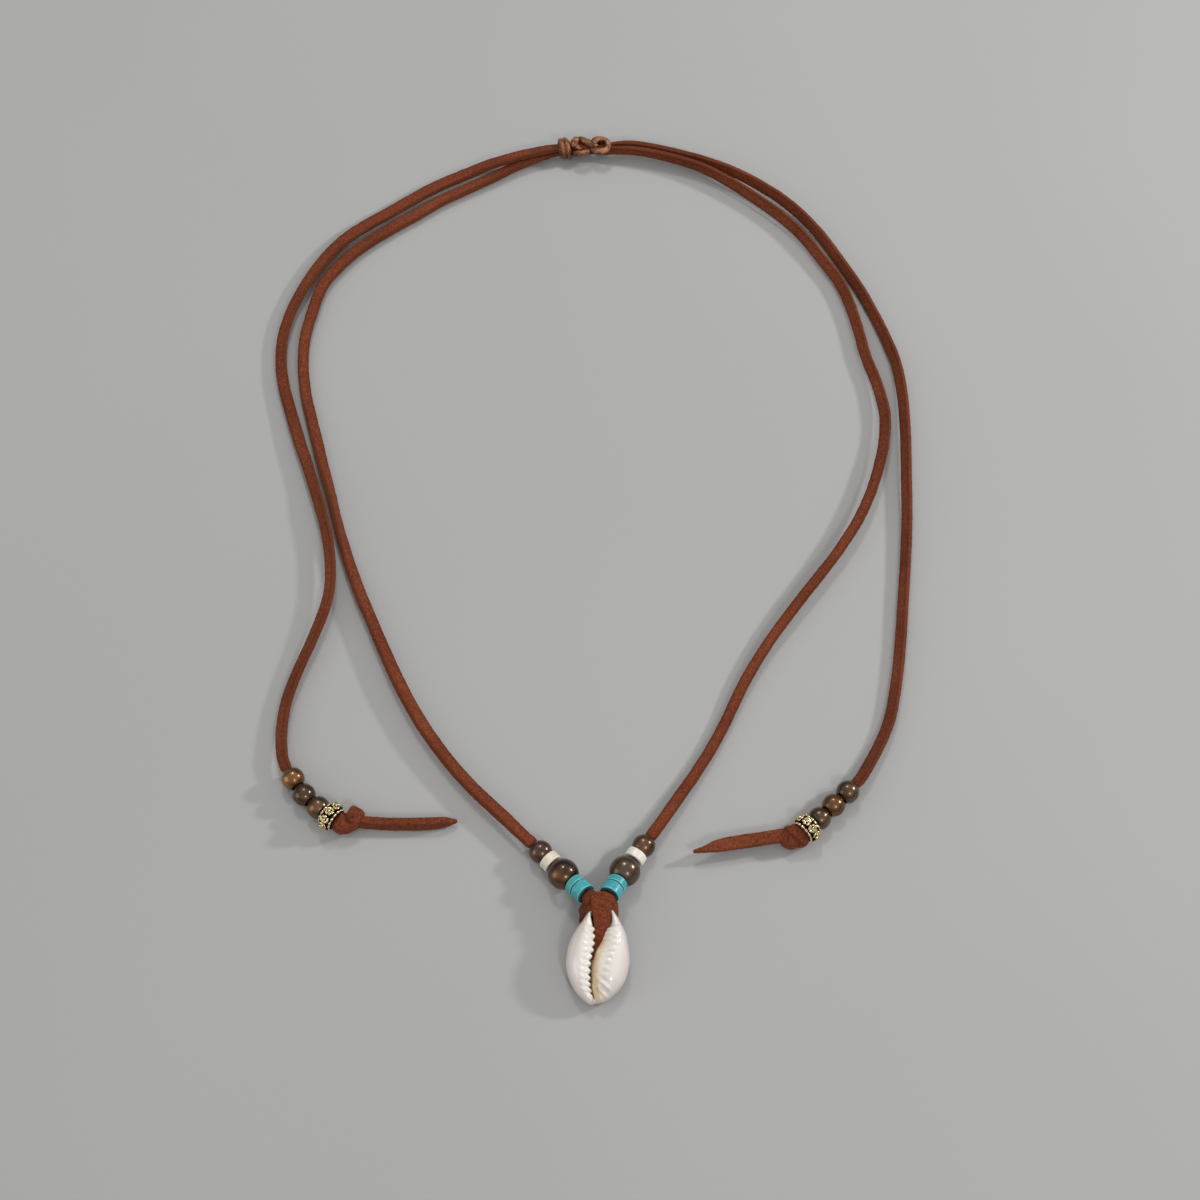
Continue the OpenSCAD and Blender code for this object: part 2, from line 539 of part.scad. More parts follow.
module end_knot_left() {
  color(suede) union() {
    strip([[-69.3, -77.5, 3.0, 0, 2.2, 1.2], [-67.5, -78.9, 3.1, 0, 2.2, 1.2],
           [-64.9, -80.9, 3.2, 0, 2.2, 1.3], [-62.2, -81.6, 3.2, 0, 2.8, 1.5]], 1, [0, 0, 1]);
    knot_body(left_knot_body, 1.7);
    strip(left_tip_route, 2, [0, 0, 1]);
  }
}
module end_knot_right() {
  color(suede) union() {
    strip([[59.3, -80.4, 3.0, 0, 2.2, 1.2], [57.5, -82.0, 3.1, 0, 2.2, 1.2],
           [55.3, -84.0, 3.2, 0, 2.4, 1.3], [53.0, -85.6, 3.2, 0, 2.8, 1.5]], 1, [0, 0, 1]);
    knot_body(right_knot_body, 1.7);
    strip(right_tip_route, 2, [0, 0, 1]);
  }
}

translate(place) {
  cowrie_shell();
  lace_hitch();
  lace_left_half();
  lace_right_half();
  turquoise_disc_left_1();
  turquoise_disc_left_2();
  turquoise_disc_right_1();
  turquoise_disc_right_2();
  large_bead_left();
  large_bead_right();
  white_disc_left();
  white_disc_right();
  small_bead_left();
  small_bead_right();
  sliding_knot();
  end_bead_left_1();
  end_bead_left_2();
  end_bead_left_3();
  end_bead_right_1();
  end_bead_right_2();
  end_bead_right_3();
  gold_spacer_left();
  gold_spacer_right();
  end_knot_left();
  end_knot_right();
}
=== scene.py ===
import math
import random

import bpy
import numpy as np
from mathutils import Matrix, Vector, noise


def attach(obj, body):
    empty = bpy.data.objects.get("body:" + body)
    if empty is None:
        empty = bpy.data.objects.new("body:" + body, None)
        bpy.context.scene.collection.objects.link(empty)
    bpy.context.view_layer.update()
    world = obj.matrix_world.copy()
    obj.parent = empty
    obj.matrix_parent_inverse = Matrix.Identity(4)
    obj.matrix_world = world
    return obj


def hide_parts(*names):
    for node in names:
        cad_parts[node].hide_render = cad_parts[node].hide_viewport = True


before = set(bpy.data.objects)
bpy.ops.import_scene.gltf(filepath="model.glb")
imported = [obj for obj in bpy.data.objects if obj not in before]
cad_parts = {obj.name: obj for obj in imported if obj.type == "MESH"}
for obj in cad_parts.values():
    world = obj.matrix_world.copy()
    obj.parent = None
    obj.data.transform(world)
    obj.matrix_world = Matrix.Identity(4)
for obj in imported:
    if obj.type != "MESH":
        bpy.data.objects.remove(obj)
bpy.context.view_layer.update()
MM = 0.001
PLACE = Vector((0.0, -1.8, 0.0))  # as in the part: the middle of the outline over the origin, mm

# ---------------------------------------------------------------- camera
TILT = math.radians(25.0)
AIM = Vector((3.0, -17.0, 0.0))
BACK = Vector((0.0, -math.sin(TILT), math.cos(TILT)))
cam_data = bpy.data.cameras.new("camera")
cam_data.sensor_width = 36.0
cam_data.lens = 36.0 * 2220.0 / 1200.0
cam_data.clip_start = 0.01
cam_data.clip_end = 20.0
cam = bpy.data.objects.new("camera", cam_data)
cam.location = (AIM + PLACE + BACK * 600.0) * MM
cam.rotation_euler = (TILT, 0.0, 0.0)
bpy.context.scene.collection.objects.link(cam)
bpy.context.scene.camera = cam

# ---------------------------------------------------------------- lace routes, mm: x, y, z, roll, width, thickness
LEFT_HALF = [
    [-6.5, -95.4, 4.0, 0, 2.2, 1.2],
    [-9.4, -92.3, 3.5, 0, 2.2, 1.2],
    [-12.2, -89.3, 3.0, 0, 2.2, 1.2],
    [-13.5, -87.9, 2.8, -4, 2.2, 1.2],
    [-14.6, -86.8, 2.8, -6, 3.1, 1.4],
    [-16.6, -85.0, 2.8, -10, 3.1, 1.5],
    [-22.5, -79.2, 2.7, -15, 3.3, 1.6],
    [-29.5, -72.4, 2.6, -20, 3.3, 1.6],
    [-36.0, -65.0, 2.6, -20, 3.3, 1.6],
    [-41.5, -57.5, 2.7, -20, 3.4, 1.6],
    [-46.0, -50.3, 2.7, -20, 3.4, 1.6],
    [-50.5, -41.8, 2.7, -20, 3.4, 1.6],
    [-54.6, -32.8, 2.6, -20, 3.3, 1.6],
    [-58.0, -24.8, 2.5, -22, 3.2, 1.6],
    [-61.5, -16.6, 2.4, -25, 3.2, 1.6],
    [-64.5, -8.5, 2.3, -30, 3.1, 1.5],
    [-67.1, -0.5, 2.2, -45, 3.1, 1.5],
    [-69.4, 7.5, 2.2, -55, 3.1, 1.5],
    [-71.5, 15.5, 2.2, -50, 3.1, 1.5],
    [-74.0, 24.0, 2.1, -35, 3.1, 1.5],
    [-76.0, 31.5, 1.9, -20, 3.1, 1.5],
    [-78.3, 40.0, 1.7, -15, 3.1, 1.5],
    [-80.0, 47.0, 1.6, -10, 3.1, 1.5],
    [-81.2, 56.5, 1.6, -10, 3.1, 1.5],
    [-81.0, 65.0, 1.7, -10, 3.1, 1.5],
    [-79.5, 73.0, 1.8, -8, 3.2, 1.5],
    [-77.0, 82.0, 1.8, -5, 3.3, 1.5],
    [-72.3, 89.3, 1.7, 0, 3.4, 1.6],
    [-66.3, 95.6, 1.6, 0, 3.4, 1.6],
    [-58.8, 101.4, 1.5, 0, 3.4, 1.6],
    [-49.8, 107.6, 1.5, 0, 3.4, 1.6],
    [-44.0, 111.7, 1.5, 5, 3.4, 1.6],
    [-36.0, 116.1, 1.6, 8, 3.3, 1.6],
    [-29.2, 119.7, 1.7, 10, 3.2, 1.5],
    [-22.0, 123.8, 2.0, 12, 3.1, 1.5],
    [-16.5, 126.2, 2.3, 15, 3.0, 1.5],
    [-12.0, 127.9, 2.5, 15, 2.9, 1.4],
    [-8.0, 128.7, 2.7, 15, 2.6, 1.0],
    [-4.0, 129.0, 2.7, -10, 2.6, 1.0],
    [0.0, 129.3, 2.8, -35, 2.6, 1.0],
    [4.0, 129.5, 3.0, -60, 2.6, 1.0],
    [8.0, 130.2, 3.5, -85, 2.8, 1.2],
    [12.0, 130.3, 3.7, -90, 3.0, 1.4],
    [18.0, 129.2, 3.8, -90, 3.1, 1.5],
    [25.5, 127.3, 3.7, -90, 3.1, 1.5],
    [33.2, 124.9, 3.5, -85, 3.1, 1.5],
    [40.6, 121.9, 3.2, -75, 3.1, 1.5],
    [48.2, 117.7, 2.8, -67, 3.2, 1.5],
    [55.5, 112.5, 2.5, -62, 3.2, 1.5],
    [61.7, 106.5, 2.2, -60, 3.2, 1.5],
    [67.2, 99.5, 2.0, -60, 3.1, 1.5],
    [72.0, 91.5, 1.9, -60, 3.1, 1.5],
    [77.2, 82.0, 1.9, -55, 3.1, 1.5],
    [80.9, 73.8, 1.9, -55, 3.1, 1.5],
    [84.6, 64.0, 1.9, -50, 3.1, 1.5],
    [86.9, 55.8, 2.0, -50, 3.1, 1.5],
    [88.0, 46.8, 2.2, -50, 3.1, 1.5],
    [88.2, 37.2, 2.4, -50, 3.1, 1.5],
    [88.0, 27.5, 2.4, -50, 3.1, 1.5],
    [87.6, 18.5, 2.3, -50, 3.1, 1.5],
    [87.0, 5.5, 2.1, -50, 3.1, 1.5],
    [86.0, -5.5, 1.9, -50, 3.1, 1.5],
    [84.7, -17.5, 1.8, -50, 3.1, 1.5],
    [83.3, -29.8, 1.8, -45, 3.1, 1.5],
    [81.6, -41.2, 1.8, -45, 3.1, 1.5],
    [79.3, -51.8, 1.9, -40, 3.1, 1.5],
    [75.9, -60.0, 2.2, -40, 3.1, 1.5],
    [71.4, -68.0, 2.8, -35, 3.1, 1.5],
    [69.5, -70.6, 3.0, -35, 3.0, 1.4],
    [68.5, -71.6, 3.0, -35, 2.2, 1.2],
    [67.0, -73.1, 3.0, -35, 2.2, 1.2],
    [63.2, -76.7, 3.0, -35, 2.2, 1.2],
    [59.5, -80.2, 3.0, -35, 2.2, 1.2]
]
RIGHT_HALF = [
    [9.5, -94.6, 4.0, 0, 2.2, 1.2],
    [11.8, -91.2, 3.5, 0, 2.2, 1.2],
    [14.2, -87.8, 3.0, 0, 2.2, 1.2],
    [15.2, -86.3, 2.8, 0, 2.2, 1.2],
    [16.1, -85.0, 2.8, 0, 2.9, 1.4],
    [17.3, -83.3, 2.7, 0, 3.0, 1.5],
    [19.1, -80.7, 2.5, 0, 3.0, 1.5],
    [23.9, -73.5, 2.1, 0, 3.0, 1.5],
    [28.0, -67.3, 1.7, 0, 2.9, 1.5],
    [32.6, -59.7, 1.5, 0, 2.9, 1.5],
    [36.5, -52.0, 1.5, 0, 2.9, 1.5],
    [39.8, -44.9, 1.8, 0, 2.9, 1.5],
    [43.0, -38.8, 2.1, 0, 2.9, 1.5],
    [47.8, -31.0, 2.6, 0, 2.8, 1.5],
    [53.0, -23.7, 3.1, 0, 2.8, 1.5],
    [58.6, -16.2, 3.5, 0, 2.8, 1.5],
    [63.8, -9.4, 3.7, 0, 2.8, 1.5],
    [68.5, -2.8, 3.8, 0, 2.8, 1.5],
    [73.3, 5.0, 3.8, 5, 2.8, 1.5],
    [77.0, 12.9, 3.7, 10, 2.8, 1.5],
    [79.7, 20.8, 3.5, 15, 2.9, 1.5],
    [81.7, 28.8, 3.2, 25, 3.0, 1.5],
    [82.7, 37.2, 2.9, 35, 3.1, 1.5],
    [82.2, 43.6, 2.6, 40, 3.1, 1.5],
    [80.8, 50.2, 2.3, 40, 3.1, 1.5],
    [78.4, 58.4, 2.1, 45, 3.1, 1.5],
    [76.7, 67.3, 2.0, 45, 3.1, 1.5],
    [74.6, 76.0, 2.0, 45, 3.1, 1.5],
    [72.0, 83.2, 2.1, 45, 3.1, 1.5],
    [66.8, 91.8, 2.2, 50, 3.1, 1.5],
    [61.3, 99.9, 2.4, 55, 3.1, 1.5],
    [54.9, 106.6, 2.6, 54, 3.2, 1.5],
    [47.7, 112.6, 2.8, 58, 3.2, 1.5],
    [40.3, 118.0, 3.1, 68, 3.1, 1.5],
    [33.1, 122.3, 3.4, 80, 3.1, 1.5],
    [25.5, 125.2, 3.6, 85, 3.1, 1.5],
    [18.0, 127.2, 3.8, 90, 3.1, 1.5],
    [12.0, 128.3, 3.7, 90, 3.0, 1.4],
    [8.0, 128.5, 3.5, 85, 2.8, 1.1],
    [4.0, 128.3, 3.7, 60, 2.6, 1.0],
    [0.0, 128.5, 3.9, 35, 2.6, 1.0],
    [-4.0, 128.8, 4.0, 10, 2.6, 1.0],
    [-8.0, 129.0, 4.0, -15, 2.6, 1.0],
    [-12.0, 128.4, 4.1, -15, 2.9, 1.4],
    [-16.5, 127.3, 4.1, -15, 3.0, 1.5],
    [-22.0, 125.9, 3.9, -12, 3.1, 1.5],
    [-29.3, 123.6, 3.3, -8, 3.3, 1.5],
    [-36.0, 120.8, 2.6, -5, 3.4, 1.6],
    [-44.2, 117.0, 2.0, 0, 3.4, 1.6],
    [-50.0, 113.4, 1.9, 0, 3.4, 1.6],
    [-59.0, 107.2, 1.8, 0, 3.4, 1.6],
    [-66.5, 102.0, 1.8, 0, 3.4, 1.6],
    [-71.6, 97.6, 1.9, 0, 3.4, 1.6],
    [-76.3, 91.9, 2.0, -5, 3.3, 1.6],
    [-81.2, 83.5, 2.2, -15, 3.2, 1.5],
    [-85.3, 73.8, 2.2, -25, 3.1, 1.5],
    [-87.3, 65.2, 2.0, -25, 3.1, 1.5],
    [-87.5, 57.4, 1.8, -20, 3.1, 1.5],
    [-86.2, 49.0, 1.7, -10, 3.2, 1.5],
    [-83.6, 40.0, 1.8, -5, 3.3, 1.5],
    [-80.7, 30.8, 2.1, -5, 3.3, 1.5],
    [-78.3, 24.0, 2.5, -15, 3.2, 1.5],
    [-75.6, 15.7, 2.9, -30, 3.1, 1.5],
    [-73.2, 7.8, 3.2, -40, 3.1, 1.5],
    [-71.2, 0.4, 3.3, -40, 3.1, 1.5],
    [-70.1, -6.9, 3.4, -40, 3.1, 1.5],
    [-69.8, -14.3, 3.4, -40, 3.1, 1.5],
    [-71.0, -21.6, 3.2, -40, 3.2, 1.6],
    [-73.8, -30.1, 2.8, -40, 3.2, 1.6],
    [-76.0, -35.8, 2.5, -40, 3.2, 1.6],
    [-78.6, -43.3, 2.2, -40, 3.2, 1.6],
    [-80.0, -49.7, 2.1, -40, 3.2, 1.6],
    [-80.4, -57.4, 2.3, -40, 3.2, 1.6],
    [-79.7, -63.0, 2.7, -38, 3.1, 1.5],
    [-78.6, -66.3, 2.9, -35, 3.0, 1.4],
    [-77.6, -67.8, 3.0, -35, 2.2, 1.2],
    [-76.4, -69.6, 3.0, -35, 2.2, 1.2],
    [-73.4, -73.9, 3.0, -35, 2.2, 1.2],
    [-69.7, -77.2, 3.0, -35, 2.2, 1.2]
]
LEFT_TIP = [
    [-60.5, -81.0, 2.6, -70, 3.0, 1.8],
    [-57.5, -81.1, 2.1, -76, 3.3, 2.1],
    [-52.0, -81.4, 1.8, -78, 3.3, 2.2],
    [-46.0, -81.5, 1.8, -78, 3.3, 2.2],
    [-40.0, -81.3, 1.8, -78, 3.3, 2.1],
    [-36.8, -80.9, 1.8, -78, 2.7, 1.8],
    [-33.8, -80.6, 1.5, -78, 0.7, 0.8]
]
RIGHT_TIP = [
    [52.8, -84.9, 3.2, 0, 3.0, 1.5],
    [50.2, -84.9, 3.2, 0, 3.4, 1.5],
    [44.5, -85.9, 3.2, 0, 3.5, 1.5],
    [38.8, -86.8, 3.3, 0, 3.5, 1.5],
    [33.4, -87.8, 3.4, 0, 3.2, 1.5],
    [29.8, -88.8, 3.5, 0, 1.7, 1.4],
    [26.8, -89.5, 3.6, 0, 0.7, 1.2]
]
# Shell rows, mm: slot x, slot y, rim x, rim y, lip height
SHELL_ROWS = [
    [3.2, 11.0, 3.9, 12.4, 4.6],
    [3.0, 9.0, 5.9, 9.2, 5.4],
    [1.8, 7.3, 7.2, 6.2, 6.1],
    [1.1, 4.9, 7.8, 3.0, 6.5],
    [-0.5, 2.2, 8.0, 0.0, 6.6],
    [-1.25, -0.6, 7.6, -3.0, 6.5],
    [-1.45, -3.6, 6.5, -5.9, 6.2],
    [-1.25, -6.5, 4.5, -8.4, 5.4],
    [-0.6, -9.0, 2.0, -10.3, 4.2],
    [-0.9, -9.5, -0.4, -10.8, 2.8],
    [-1.25, -9.1, -2.2, -11.0, 4.2],
    [-1.9, -6.9, -4.9, -8.7, 5.2],
    [-2.05, -3.6, -6.8, -5.7, 6.0],
    [-1.85, -0.6, -7.9, -2.0, 6.4],
    [-1.2, 2.4, -7.8, 1.2, 6.5],
    [-0.9, 5.0, -7.1, 4.2, 6.2],
    [-1.0, 7.4, -5.8, 7.0, 5.7],
    [-1.4, 9.4, -4.0, 9.6, 5.1],
    [-1.6, 11.0, -2.2, 12.2, 4.4],
    [-0.9, 10.8, -1.0, 12.2, 2.1],
    [0.7, 10.6, 0.9, 12.2, 1.6],
    [2.3, 10.8, 2.8, 12.3, 2.1]
]


# ---------------------------------------------------------------- small helpers
def arr(v):
    return np.array(v, float)


def unit(v):
    v = arr(v)
    return v / np.linalg.norm(v)


def catmull(rows, n, closed=False):
    """n steps from each row to the next, as in the part's own tables."""
    m = arr(rows)
    c = len(m)
    out = []
    last = c if closed else c - 1
    for i in range(last):
        if closed:
            a, b, d, e = m[i - 1], m[i], m[(i + 1) % c], m[(i + 2) % c]
        else:
            a, b, d, e = m[max(i - 1, 0)], m[i], m[i + 1], m[min(i + 2, c - 1)]
        for k in range(n):
            t = k / n
            out.append(
                0.5
                * (
                    2 * b
                    + (d - a) * t
                    + (2 * a - 5 * b + 4 * d - e) * t * t
                    + (3 * b - a - 3 * d + e) * t * t * t
                )
            )
    if not closed:
        out.append(m[-1])
    return arr(out)


def resample(path, step):
    """Even steps along the first three columns; the other columns go along."""
    seg = np.linalg.norm(np.diff(path[:, :3], axis=0), axis=1)
    s = np.concatenate([[0], np.cumsum(seg)])
    n = max(2, int(round(s[-1] / step)))
    at = np.linspace(0, s[-1], n + 1)
    return np.stack([np.interp(at, s, path[:, k]) for k in range(path.shape[1])], 1), at


def frames(points, ref):
    """Tangent, side and upward directions along points, as in the part."""
    n = len(points)
    t = np.empty((n, 3))
    t[1:-1] = points[2:] - points[:-2]
    t[0] = points[1] - points[0]
    t[-1] = points[-1] - points[-2]
    t /= np.linalg.norm(t, axis=1)[:, None]
    s = np.cross(t, np.tile(arr(ref), (n, 1)))
    s /= np.linalg.norm(s, axis=1)[:, None]
    u = np.cross(s, t)
    return t, s, u


def n3(p, scale, seed=0.0):
    """Smooth noise, about -1 to 1, at points in mm."""
    q = p * scale + seed * 17.31
    return arr([noise.noise(Vector(x)) for x in q])


def new_object(name, verts_mm, faces, material=None, smooth=True):
    me = bpy.data.meshes.new(name)
    me.from_pydata((arr(verts_mm) * MM).tolist(), [], [tuple(int(i) for i in f) for f in faces])
    me.update()
    o = bpy.data.objects.new(name, me)
    bpy.context.scene.collection.objects.link(o)
    if material:
        me.materials.append(material)
    me.polygons.foreach_set("use_smooth", [smooth] * len(me.polygons))
    return o


def settle(o):
    """Moves a finished piece with the whole necklace and ties it to the body."""
    o.data.transform(Matrix.Translation(PLACE * MM))
    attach(o, "root")


def attribute(o, name, values):
    a = o.data.attributes.new(name, "FLOAT", "POINT")
    a.data.foreach_set("value", arr(values).astype(np.float32))


def coords(o):
    co = np.zeros(len(o.data.vertices) * 3)
    o.data.vertices.foreach_get("co", co)
    return co.reshape(-1, 3) / MM


def set_coords(o, p):
    o.data.vertices.foreach_set("co", (p * MM).ravel())
    o.data.update()


def vertex_normals(o):
    co = np.zeros(len(o.data.vertices) * 3)
    o.data.vertex_normals.foreach_get("vector", co)
    return co.reshape(-1, 3)


def baked(o, *mods):
    """The object's mesh with these modifiers applied."""
    for kind, settings in mods:
        m = o.modifiers.new(kind, kind)
        for k, v in settings.items():
            setattr(m, k, v)
    dg = bpy.context.evaluated_depsgraph_get()
    dg.update()
    me = bpy.data.meshes.new_from_object(o.evaluated_get(dg))
    o.modifiers.clear()
    old = o.data
    o.data = me
    bpy.data.meshes.remove(old)
    me.polygons.foreach_set("use_smooth", [True] * len(me.polygons))
    me.update()
    return o


def loft(rings, closed_ring=False, caps=True):
    """Faces over rings of equal count."""
    rings = arr(rings)
    n, c = rings.shape[:2]
    faces = []
    for i in range(n if closed_ring else n - 1):
        a, b = i * c, ((i + 1) % n) * c
        for k in range(c):
            k2 = (k + 1) % c
            faces.append((a + k, b + k, b + k2, a + k2))
    if caps and not closed_ring:
        faces.append(tuple(range(c))[::-1][::-1])
        faces.append(tuple((n - 1) * c + k for k in range(c))[::-1])
    return rings.reshape(-1, 3), faces


# ---------------------------------------------------------------- materials
def node_material(name):
    m = bpy.data.materials.new(name)
    m.use_nodes = True
    nt = m.node_tree
    bsdf = nt.nodes["Principled BSDF"]
    return m, nt, bsdf


def add(nt, kind, **settings):
    n = nt.nodes.new(kind)
    for k, v in settings.items():
        if k.startswith("in_"):
            key = k[3:]
            n.inputs[int(key) if key.isdigit() else key.replace("_", " ")].default_value = v
        else:
            setattr(n, k, v)
    return n


def ramp(nt, stops, interpolation="LINEAR"):
    n = nt.nodes.new("ShaderNodeValToRGB")
    r = n.color_ramp
    r.interpolation = interpolation
    while len(r.elements) < len(stops):
        r.elements.new(0.5)
    for e, (pos, col) in zip(r.elements, stops):
        e.position = pos
        e.color = (*col, 1.0) if len(col) == 3 else col
    return n


def noise_node(nt, scale, detail=3.0, rough=0.6, distortion=0.0, vector=None, kind="ShaderNodeTexNoise"):
    n = nt.nodes.new(kind)
    n.inputs["Scale"].default_value = scale
    n.inputs["Detail"].default_value = detail
    n.inputs["Roughness"].default_value = rough
    if "Distortion" in n.inputs:
        n.inputs["Distortion"].default_value = distortion
    if vector is not None:
        nt.links.new(vector, n.inputs["Vector"])
    return n


def mix(nt, fac, a, b, blend="MIX"):
    n = nt.nodes.new("ShaderNodeMix")
    n.data_type = "RGBA"
    n.blend_type = blend
    for sock, v in ((n.inputs["Factor"], fac), (n.inputs["A"], a), (n.inputs["B"], b)):
        if hasattr(v, "node"):
            nt.links.new(v, sock)
        elif sock.type == "RGBA":
            sock.default_value = (*v, 1.0)
        else:
            sock.default_value = v
    return n.outputs["Result"]


def math_node(nt, op, a, b=0.0, clamp=False):
    n = nt.nodes.new("ShaderNodeMath")
    n.operation = op
    n.use_clamp = clamp
    for sock, v in ((n.inputs[0], a), (n.inputs[1], b)):
        if hasattr(v, "node"):
            nt.links.new(v, sock)
        else:
            sock.default_value = v
    return n.outputs[0]


def bump(nt, height, strength, distance, normal=None):
    n = nt.nodes.new("ShaderNodeBump")
    n.inputs["Strength"].default_value = strength
    n.inputs["Distance"].default_value = distance
    nt.links.new(height, n.inputs["Height"])
    if normal is not None:
        nt.links.new(normal, n.inputs["Normal"])
    return n.outputs["Normal"]


def ramp_value(nt, value, p0, v0, p1, v1):
    r = ramp(nt, [(p0, (v0,) * 3), (p1, (v1,) * 3)])
    nt.links.new(value, r.inputs["Fac"])
    return r.outputs["Color"]


def suede(name, dark, mid, light, cut):
    """Suede: napped faces, smoother and lighter cut edges where the attribute cut is 1."""
    m, nt, b = node_material(name)
    tc = add(nt, "ShaderNodeTexCoord").outputs["Object"]
    grain = noise_node(nt, 3400.0, 4.0, 0.7, 0.4, tc).outputs["Fac"]
    cloud = noise_node(nt, 1500.0, 3.0, 0.65, 0.5, tc).outputs["Fac"]
    wide = noise_node(nt, 60.0, 2.0, 0.5, 0.0, tc).outputs["Fac"]
    fac = math_node(nt, "ADD", math_node(nt, "MULTIPLY", grain, 0.50), math_node(nt, "MULTIPLY", cloud, 0.32))
    fac = math_node(nt, "ADD", fac, math_node(nt, "MULTIPLY", wide, 0.18))
    face = ramp(nt, [(0.38, dark), (0.50, mid), (0.61, light)])
    nt.links.new(fac, face.inputs["Fac"])
    rim = ramp(nt, [(0.38, [c * 0.55 for c in cut]), (0.50, cut), (0.64, [min(1, c * 1.7) for c in cut])])
    nt.links.new(fac, rim.inputs["Fac"])
    at = add(nt, "ShaderNodeAttribute", attribute_name="cut").outputs["Fac"]
    col = mix(nt, at, face.outputs["Color"], rim.outputs["Color"])
    # painted shade: darker along the strips' corner lines, in pressed creases and wherever a piece's shade mask puts it
    line = add(nt, "ShaderNodeAttribute", attribute_name="painted_shade").outputs["Fac"]
    shade_mix = math_node(nt, "MULTIPLY", line, ramp_value(nt, cloud, 0.36, 0.25, 0.62, 0.60))
    col = mix(nt, shade_mix, col, [c * 0.55 for c in dark])
    # small dark pits, pale specks of broken fibre
    pits = ramp_value(nt, noise_node(nt, 2300.0, 2.0, 0.6, 0.6, tc).outputs["Fac"], 0.30, 0.60, 0.37, 0.0)
    col = mix(nt, pits, col, [c * 0.5 for c in dark])
    speck = noise_node(nt, 2900.0, 2.0, 0.6, 0.3, tc).outputs["Fac"]
    sp = ramp(nt, [(0.60, (0, 0, 0)), (0.70, (1, 1, 1))])
    nt.links.new(speck, sp.inputs["Fac"])
    col = mix(nt, math_node(nt, "MULTIPLY", sp.outputs["Color"], 0.42), col, [c * 1.6 for c in light])
    nt.links.new(col, b.inputs["Base Color"])
    rough = ramp(nt, [(0.3, (0.95,) * 3), (0.8, (0.75,) * 3)])
    nt.links.new(grain, rough.inputs["Fac"])
    nt.links.new(rough.outputs["Color"], b.inputs["Roughness"])
    b.inputs["Specular IOR Level"].default_value = 0.18
    b.inputs["Sheen Weight"].default_value = 0.22
    b.inputs["Sheen Roughness"].default_value = 0.45
    b.inputs["Sheen Tint"].default_value = (0.85, 0.42, 0.28, 1.0)
    fine = noise_node(nt, 5200.0, 3.0, 0.7, 0.0, tc).outputs["Fac"]
    nrm = bump(nt, grain, 0.55, 0.00016)
    nrm = bump(nt, fine, 0.45, 0.00007, nrm)
    nt.links.new(nrm, b.inputs["Normal"])
    return m


SUEDE_DARK = (0.070, 0.0155, 0.0062)
SUEDE_MID = (0.166, 0.0360, 0.0130)
SUEDE_LIGHT = (0.285, 0.078, 0.0310)
SUEDE_CUT = (0.172, 0.0400, 0.0140)
suede_mat = suede("suede", SUEDE_DARK, SUEDE_MID, SUEDE_LIGHT, SUEDE_CUT)
fibre_mat, _nt, _b = node_material("suede_fibre")
_tc = add(_nt, "ShaderNodeTexCoord").outputs["Object"]
_r = ramp(_nt, [(0.35, (0.09, 0.022, 0.010)), (0.65, (0.36, 0.13, 0.07))])
_nt.links.new(noise_node(_nt, 900.0, 2.0, 0.5, 0.0, _tc).outputs["Fac"], _r.inputs["Fac"])
_nt.links.new(_r.outputs["Color"], _b.inputs["Base Color"])
_b.inputs["Roughness"].default_value = 0.8
_b.inputs["Specular IOR Level"].default_value = 0.2


def bead_material(name, tones, copper_and_sheen, spread=0.5):
    """Pearly glaze over dark clay: tones from dark to light, with patches of a warm copper colour: random patches of
    the bead's own tone, and painted sheen where the per-bead attribute is high.
    """
    m, nt, b = node_material(name)
    tc = add(nt, "ShaderNodeTexCoord").outputs["Object"]
    big = noise_node(nt, 210.0, 2.0, 0.5, 0.8, tc).outputs["Fac"]
    small = noise_node(nt, 1100.0, 4.0, 0.65, 0.8, tc).outputs["Fac"]
    fac = math_node(nt, "ADD", math_node(nt, "MULTIPLY", big, 0.72), math_node(nt, "MULTIPLY", small, 0.28))
    r = ramp(nt, [(0.36, tones[0]), (0.50, tones[1]), (0.62, tones[2])])
    nt.links.new(fac, r.inputs["Fac"])
    patch = noise_node(nt, 190.0, 1.0, 0.5, 0.3, tc).outputs["Fac"]
    copper_sheen = add(nt, "ShaderNodeAttribute", attribute_name="copper_and_sheen").outputs["Fac"]
    fac = math_node(nt, "ADD", copper_sheen, math_node(nt, "MULTIPLY", math_node(nt, "SUBTRACT", patch, spread), 1.6), True)
    nt.links.new(mix(nt, fac, r.outputs["Color"], copper_and_sheen), b.inputs["Base Color"])
    b.inputs["Metallic"].default_value = 0.75
    rr = ramp(nt, [(0.3, (0.27,) * 3), (0.7, (0.36,) * 3)])
    nt.links.new(small, rr.inputs["Fac"])
    nt.links.new(rr.outputs["Color"], b.inputs["Roughness"])
    b.inputs["Specular IOR Level"].default_value = 0.3
    b.inputs["Specular Tint"].default_value = (0.72, 0.62, 0.55, 1.0)
    b.inputs["Coat Weight"].default_value = 0.85
    b.inputs["Coat Roughness"].default_value = 0.10
    b.inputs["Coat IOR"].default_value = 1.40
    nt.links.new(bump(nt, small, 0.15, 0.00008), b.inputs["Normal"])
    return m


